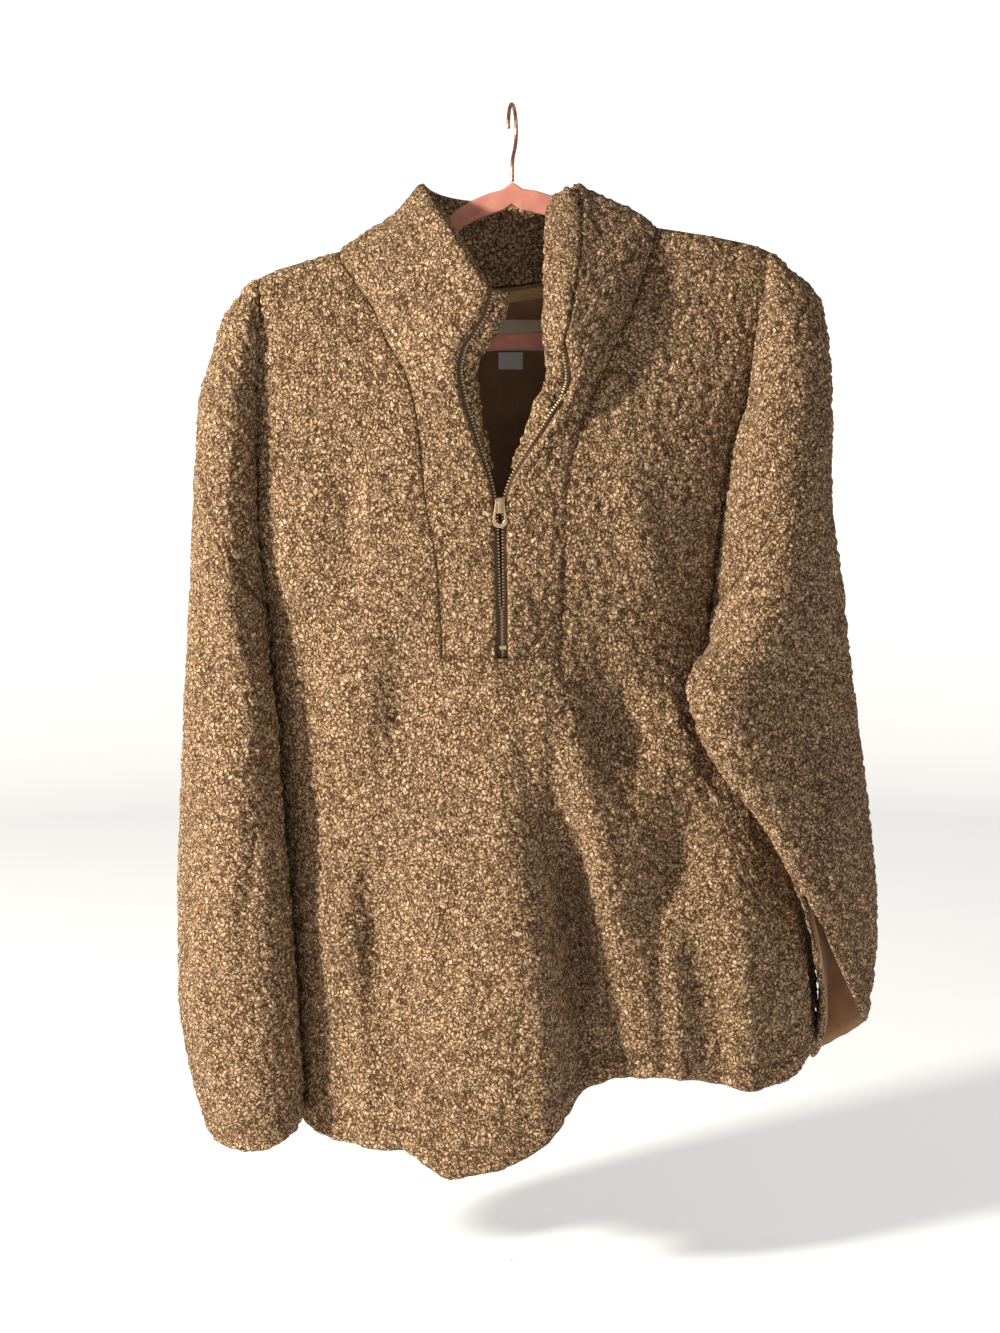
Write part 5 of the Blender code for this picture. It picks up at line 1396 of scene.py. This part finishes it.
def tooth_material():
    """Pale moulded teeth with a little wear on their tips."""
    made, tree, shader, node = new_material("zip_teeth")
    place = in_millimetres(node, tree)
    wear = node("ShaderNodeTexNoise", Vector=place, Scale=0.8, Detail=2.0).outputs["Fac"]
    colour = ramp_of(node, wear, (0.3, (0.42, 0.3, 0.17)), (0.7, (0.68, 0.53, 0.33)))
    tree.links.new(colour, shader.inputs["Base Color"])
    tree.links.new(bump_of(node, wear, 0.2, 0.1), shader.inputs["Normal"])
    shader.inputs["Roughness"].default_value = 0.32
    shader.inputs["Metallic"].default_value = 0.75
    return made


tape_weave = woven_material("zip_tape_weave", (0.07, 0.04, 0.022), (0.2, 0.125, 0.07), 0.9)
teeth_metal = tooth_material()
# A tooth's own shape: a waisted block with a rounded head, (out, along, through) for each point.
TOOTH_RINGS = ((-0.5, 0.8, 0.75), (-0.1, 0.72, 0.85), (0.3, 1.0, 1.0), (0.5, 0.7, 0.7))


def teeth_row(name, side, shift):
    """One side's teeth, evenly spaced along the zip's edge."""
    fine = np.linspace(*TEETH_STATIONS, 900)
    points, out, behind = zip_frame(side, fine)
    run = np.cross(out, behind)
    step = np.linalg.norm(np.diff(points, axis=0), axis=1)
    along = np.concatenate([[0], np.cumsum(step)])
    reach = smooth(STANDING_OUT["station"], STANDING_OUT["teeth"], fine)
    long, wide, thick = TOOTH_SIZE
    last = 4 * (len(TOOTH_RINGS) - 1)
    verts, faces = [], []
    for place in np.arange(shift * TOOTH_PITCH, along[-1], TOOTH_PITCH):
        spot, outwards, through, across = (
            np.array([np.interp(place, along, values[:, k]) for k in range(3)])
            for values in (points, out, behind, run)
        )
        middle = spot + through * (TAPE_BEHIND + TAPE_WALL / 2) + outwards * np.interp(place, along, reach)
        base = len(verts)
        for forward, breadth, height in TOOTH_RINGS:
            for a, b in ((-side, -1), (side, -1), (side, 1), (-side, 1)):
                offset = outwards * forward * long + across * a * breadth * wide / 2
                verts.append(middle + offset + through * b * height * thick / 2)
        for ring in range(base, base + last, 4):
            for k in range(4):
                j = (k + 1) % 4
                faces.append((ring + k, ring + j, ring + 4 + j, ring + 4 + k))
        faces.append((base + 3, base + 2, base + 1, base))
        faces.append(tuple(base + last + k for k in range(4)))
    made = new_object(name, np.array(verts) * MM, faces, teeth_metal)
    rounding = made.modifiers.new("Rounding", "BEVEL")
    rounding.width = TOOTH_ROUNDING * MM
    rounding.segments = 1
    rounding.limit_method = "ANGLE"
    return made


for name, side in (("left", -1), ("right", 1)):
    stations = np.linspace(*TAPE_STATIONS, TAPE_ROWS)
    points, out, behind = zip_frame(side, stations)
    shown = smooth(STANDING_OUT["station"], STANDING_OUT["tape"], stations)[:, None]
    base = points + behind * TAPE_BEHIND
    shares = np.linspace(0, 1, TAPE_COLUMNS)
    lines = [base + out * mix(-TAPE_COVERED, shown, share) for share in shares]
    thickness = behind[:, None] * TAPE_WALL
    tape = solid_strip("zip_tape_weave_" + name, lines, thickness, tape_weave, side < 0)
    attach(tape, "jacket")
    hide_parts("zip_tape_" + name)
    teeth = teeth_row("zip_teeth_" + name, side, 0.0 if side < 0 else 0.5)
    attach(teeth, "jacket")


# ---------------------------------------------------------------------------
# Slider, pull tab and bottom stop
#
# Cast zinc plated pale gold. The tab hangs on the slider's bridge and turns about it. The stop
# is crimped over both tapes at the zip's foot.
# ---------------------------------------------------------------------------


def plated_material(name, dark, light, roughness):
    """Plated metal: a clear colour with faint rubbing marks and tiny dents."""
    made, tree, shader, node = new_material(name)
    place = in_millimetres(node, tree)
    rub = node("ShaderNodeTexNoise", Vector=place, Scale=0.35, Detail=4.0).outputs["Fac"]
    dents = node("ShaderNodeTexNoise", Vector=place, Scale=1.6, Detail=2.0).outputs["Fac"]
    tree.links.new(ramp_of(node, rub, (0.35, dark), (0.65, light)), shader.inputs["Base Color"])
    rough = math_of(node, "MULTIPLY_ADD", dents, 0.22, roughness - 0.1)
    tree.links.new(rough, shader.inputs["Roughness"])
    tree.links.new(bump_of(node, dents, 0.08, 0.15), shader.inputs["Normal"])
    shader.inputs["Metallic"].default_value = 1.0
    return made


def dress(node_name, made_of, rounded):
    """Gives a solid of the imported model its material, and rounds its edges by that much."""
    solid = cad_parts[node_name]
    solid.data.materials.clear()
    solid.data.materials.append(made_of)
    welding = solid.modifiers.new("Welding", "WELD")
    welding.merge_threshold = 0.02 * MM
    rounding = solid.modifiers.new("Rounding", "BEVEL")
    rounding.width = rounded * MM
    rounding.segments = 2
    rounding.limit_method = "ANGLE"
    rounding.angle_limit = math.radians(40)
    return solid


gold = plated_material("pale_gold_plate", (0.66, 0.47, 0.27), (0.86, 0.68, 0.45), 0.3)
for node_name in ("slider", "pull_tab", "zip_stop"):
    dress(node_name, gold, 0.25)


# ---------------------------------------------------------------------------
# Hanger and hook
#
# A slim moulded hanger flocked in dusty pink, so that the cloth doesn't slip, and a swivel hook
# of steel wire plated rose gold.
# ---------------------------------------------------------------------------


def flock_material():
    """Flock: very short dense fibres that glow at their edges, a little rubbed in places."""
    made, tree, shader, node = new_material("pink_flock")
    place = in_millimetres(node, tree)
    fibre = node("ShaderNodeTexNoise", Vector=place, Scale=3.0, Detail=2.0).outputs["Fac"]
    nap = node("ShaderNodeTexNoise", Vector=place, Scale=0.09, Detail=3.0).outputs["Fac"]
    tone = math_of(node, "MULTIPLY_ADD", fibre, 0.4, math_of(node, "MULTIPLY", nap, 0.6))
    colour = ramp_of(node, tone, (0.3, (0.46, 0.165, 0.115)), (0.7, (0.66, 0.28, 0.2)))
    tree.links.new(colour, shader.inputs["Base Color"])
    tree.links.new(bump_of(node, fibre, 0.35, 0.3), shader.inputs["Normal"])
    shader.inputs["Roughness"].default_value = 0.95
    shader.inputs["Sheen Weight"].default_value = 0.3
    shader.inputs["Sheen Roughness"].default_value = 0.35
    shader.inputs["Sheen Tint"].default_value = (1.0, 0.62, 0.52, 1.0)
    return made


dress("hanger", flock_material(), 0.9)
rose_gold = plated_material("rose_gold_plate", (0.3, 0.125, 0.075), (0.62, 0.33, 0.22), 0.3)
smoothing = dress("hook", rose_gold, 0.3).modifiers.new("Smoothing", "SUBSURF")
smoothing.levels = 1
smoothing.render_levels = 1


# ---------------------------------------------------------------------------
# Neck tape and labels
#
# A tan herringbone tape covers the neck seam inside. Below it a woven label and a smaller one are
# sewn to the backing, and a white tab is caught in the side seam near the hem. All are bare.
# ---------------------------------------------------------------------------


LABEL_MARGIN = 0.0002  # kept from the solid's edges, so that each ray meets it
RAY_START = 0.02  # in front of the solid
LEVELS_TRIED = 60
LABEL_LIFT = 0.1
LABEL_THICKNESS = 0.5


def laid_strip(name, node_name, columns, rows, made_of, puff):
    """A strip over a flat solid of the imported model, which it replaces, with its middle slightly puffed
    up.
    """
    low, high = (np.array(corner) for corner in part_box(node_name))
    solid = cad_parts[node_name]
    tree = BVHTree.FromObject(solid, bpy.context.evaluated_depsgraph_get())

    def met(x, level):
        return tree.ray_cast(Vector((x, low[1] - RAY_START, level)), Vector((0, 1, 0)))[0]

    lines = []
    for x in np.linspace(low[0] + LABEL_MARGIN, high[0] - LABEL_MARGIN, columns):
        tried = np.linspace(high[2], low[2], LEVELS_TRIED)
        levels = [level for level in tried if met(x, level) is not None]
        top, foot = levels[0], levels[-1]
        line = []
        for level in np.linspace(top, foot, rows):
            hit = met(x, min(max(level, foot + LABEL_MARGIN), top - LABEL_MARGIN))
            line.append((x, hit.y if hit else lines[-1][len(line)][1], level))
        lines.append(np.array(line))
    sheet = np.stack(lines) / MM
    arch = [np.sin(np.pi * np.linspace(0, 1, count)) for count in (columns, rows)]
    sheet[..., 1] -= LABEL_LIFT + puff * np.outer(*arch)
    strips = [sheet[k] for k in range(columns)]
    return solid_strip(name, strips, np.array([0, 1.0, 0]) * LABEL_THICKNESS, made_of)


tan_tape = woven_material("tan_neck_tape", (0.34, 0.185, 0.075), (0.66, 0.42, 0.2), 1.2)
cream_weave = woven_material("cream_label", (0.6, 0.47, 0.34), (0.84, 0.7, 0.53), 0.6)
white_weave = woven_material("white_label", (0.66, 0.61, 0.55), (0.9, 0.87, 0.82), 0.6)
# Each: the piece, the solid it replaces, its columns and rows, its material and slot, its flat
# size in metres, and how far its middle puffs up in millimetres.
labels = (
    ("neck_tape_weave", "neck_tape", 60, 8, tan_tape, "neck_tape", (0.109, 0.01), 0.3),
    ("main_label_weave", "main_label", 40, 20, cream_weave, "label", (0.052, 0.024), 0.5),
    ("size_label_weave", "size_label", 20, 14, white_weave, "white_label", (0.02, 0.0135), 0.5),
    ("hem_tab_weave", "hem_tab", 10, 18, white_weave, "white_label", (0.0105, 0.017), 0.3),
)
for name, node_name, columns, rows, made_of, slot_name, flat, puff in labels:
    strip = laid_strip(name, node_name, columns, rows, made_of, puff)
    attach(strip, "jacket")
    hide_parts(node_name)


# ---------------------------------------------------------------------------
# Stage, light and camera
#
# A pale floor that runs up into a pale round wall, a soft key from the viewer's left that rakes
# across the pile, and a weak fill. The camera stands level with the chest, as in the photograph.
# ---------------------------------------------------------------------------

FLOOR_LEVEL = -0.93
FLOOR_RADIUS = 2.3
CORNER = 0.7  # the radius of the bend between floor and wall
CORNER_STEPS = 16
WALL_TOP = 2.6
AROUND = 96
CAMERA_PLACE = (-0.0096, -1.790, -0.251)
CAMERA_AIM = (-0.0096, 0.0, -0.439)


def paper_material():
    """Pale matt paper that glows a little, so that it stays even."""
    made, tree, shader, node = new_material("stage_paper")
    place = in_millimetres(node, tree)
    grain = node("ShaderNodeTexNoise", Vector=place, Scale=0.004, Detail=2.0).outputs["Fac"]
    colour = ramp_of(node, grain, (0.0, (0.8, 0.8, 0.8)), (1.0, (0.84, 0.84, 0.84)))
    tree.links.new(colour, shader.inputs["Base Color"])
    shader.inputs["Roughness"].default_value = 0.95
    shader.inputs["Emission Color"].default_value = (1.0, 0.995, 0.985, 1.0)
    shader.inputs["Emission Strength"].default_value = 0.42
    return made


def round_stage(name, profile):
    """A surface of revolution about the jacket, from (radius, level) pairs."""
    turns = 2 * np.pi * np.arange(AROUND) / AROUND
    rings = [
        np.stack([radius * np.cos(turns), radius * np.sin(turns), np.full(AROUND, level)], axis=1)
        for radius, level in profile
    ]
    every_cell = np.ones((len(profile) - 1, AROUND), bool)
    faces = sheet_quads((len(profile), AROUND), every_cell, True, True).tolist()
    made = new_object(name, np.concatenate(rings), faces, paper)
    return made


paper = paper_material()
turns = [math.pi / 2 * k / CORNER_STEPS for k in range(CORNER_STEPS + 1)]
corner = [
    (FLOOR_RADIUS + CORNER * math.sin(turn), FLOOR_LEVEL + CORNER * (1 - math.cos(turn)))
    for turn in turns
]
round_stage("floor", [(0.001, FLOOR_LEVEL), (1.0, FLOOR_LEVEL), (FLOOR_RADIUS, FLOOR_LEVEL)])
wall = round_stage("round_wall", corner + [(FLOOR_RADIUS + CORNER, WALL_TOP)])
wall.visible_diffuse = False
wall.visible_glossy = False
wall.visible_shadow = False


def aimed(name, data, place, aim):
    """A lamp or camera that stands at one place and looks at another."""
    made = bpy.data.objects.new(name, data)
    made.location = place
    made.rotation_euler = (Vector(aim) - Vector(place)).to_track_quat("-Z", "Y").to_euler()
    scene.collection.objects.link(made)
    return made


def area_light(name, place, aim, size, power, colour):
    lamp = bpy.data.lights.new(name, "AREA")
    lamp.shape = "DISK"
    lamp.size = size
    lamp.energy = power
    lamp.color = colour
    aimed(name, lamp, place, aim)


area_light("key", (-2.2, -1.3, 0.35), (0.0, 0.0, -0.42), 0.3, 130.0, (1.0, 0.94, 0.84))
area_light("fill", (0.6, -2.4, 0.5), (0.0, 0.0, -0.45), 1.6, 5.0, (1.0, 0.97, 0.94))
world = bpy.data.worlds.new("soft_light")
world.use_nodes = True
background = world.node_tree.nodes["Background"]
background.inputs["Color"].default_value = (1.0, 0.98, 0.96, 1.0)
background.inputs["Strength"].default_value = 0.34
scene.world = world
scene.view_settings.view_transform = "Standard"

lens = bpy.data.cameras.new("camera")
lens.lens = 60.8
lens.sensor_width = 36.0
scene.camera = aimed("camera", lens, CAMERA_PLACE, CAMERA_AIM)
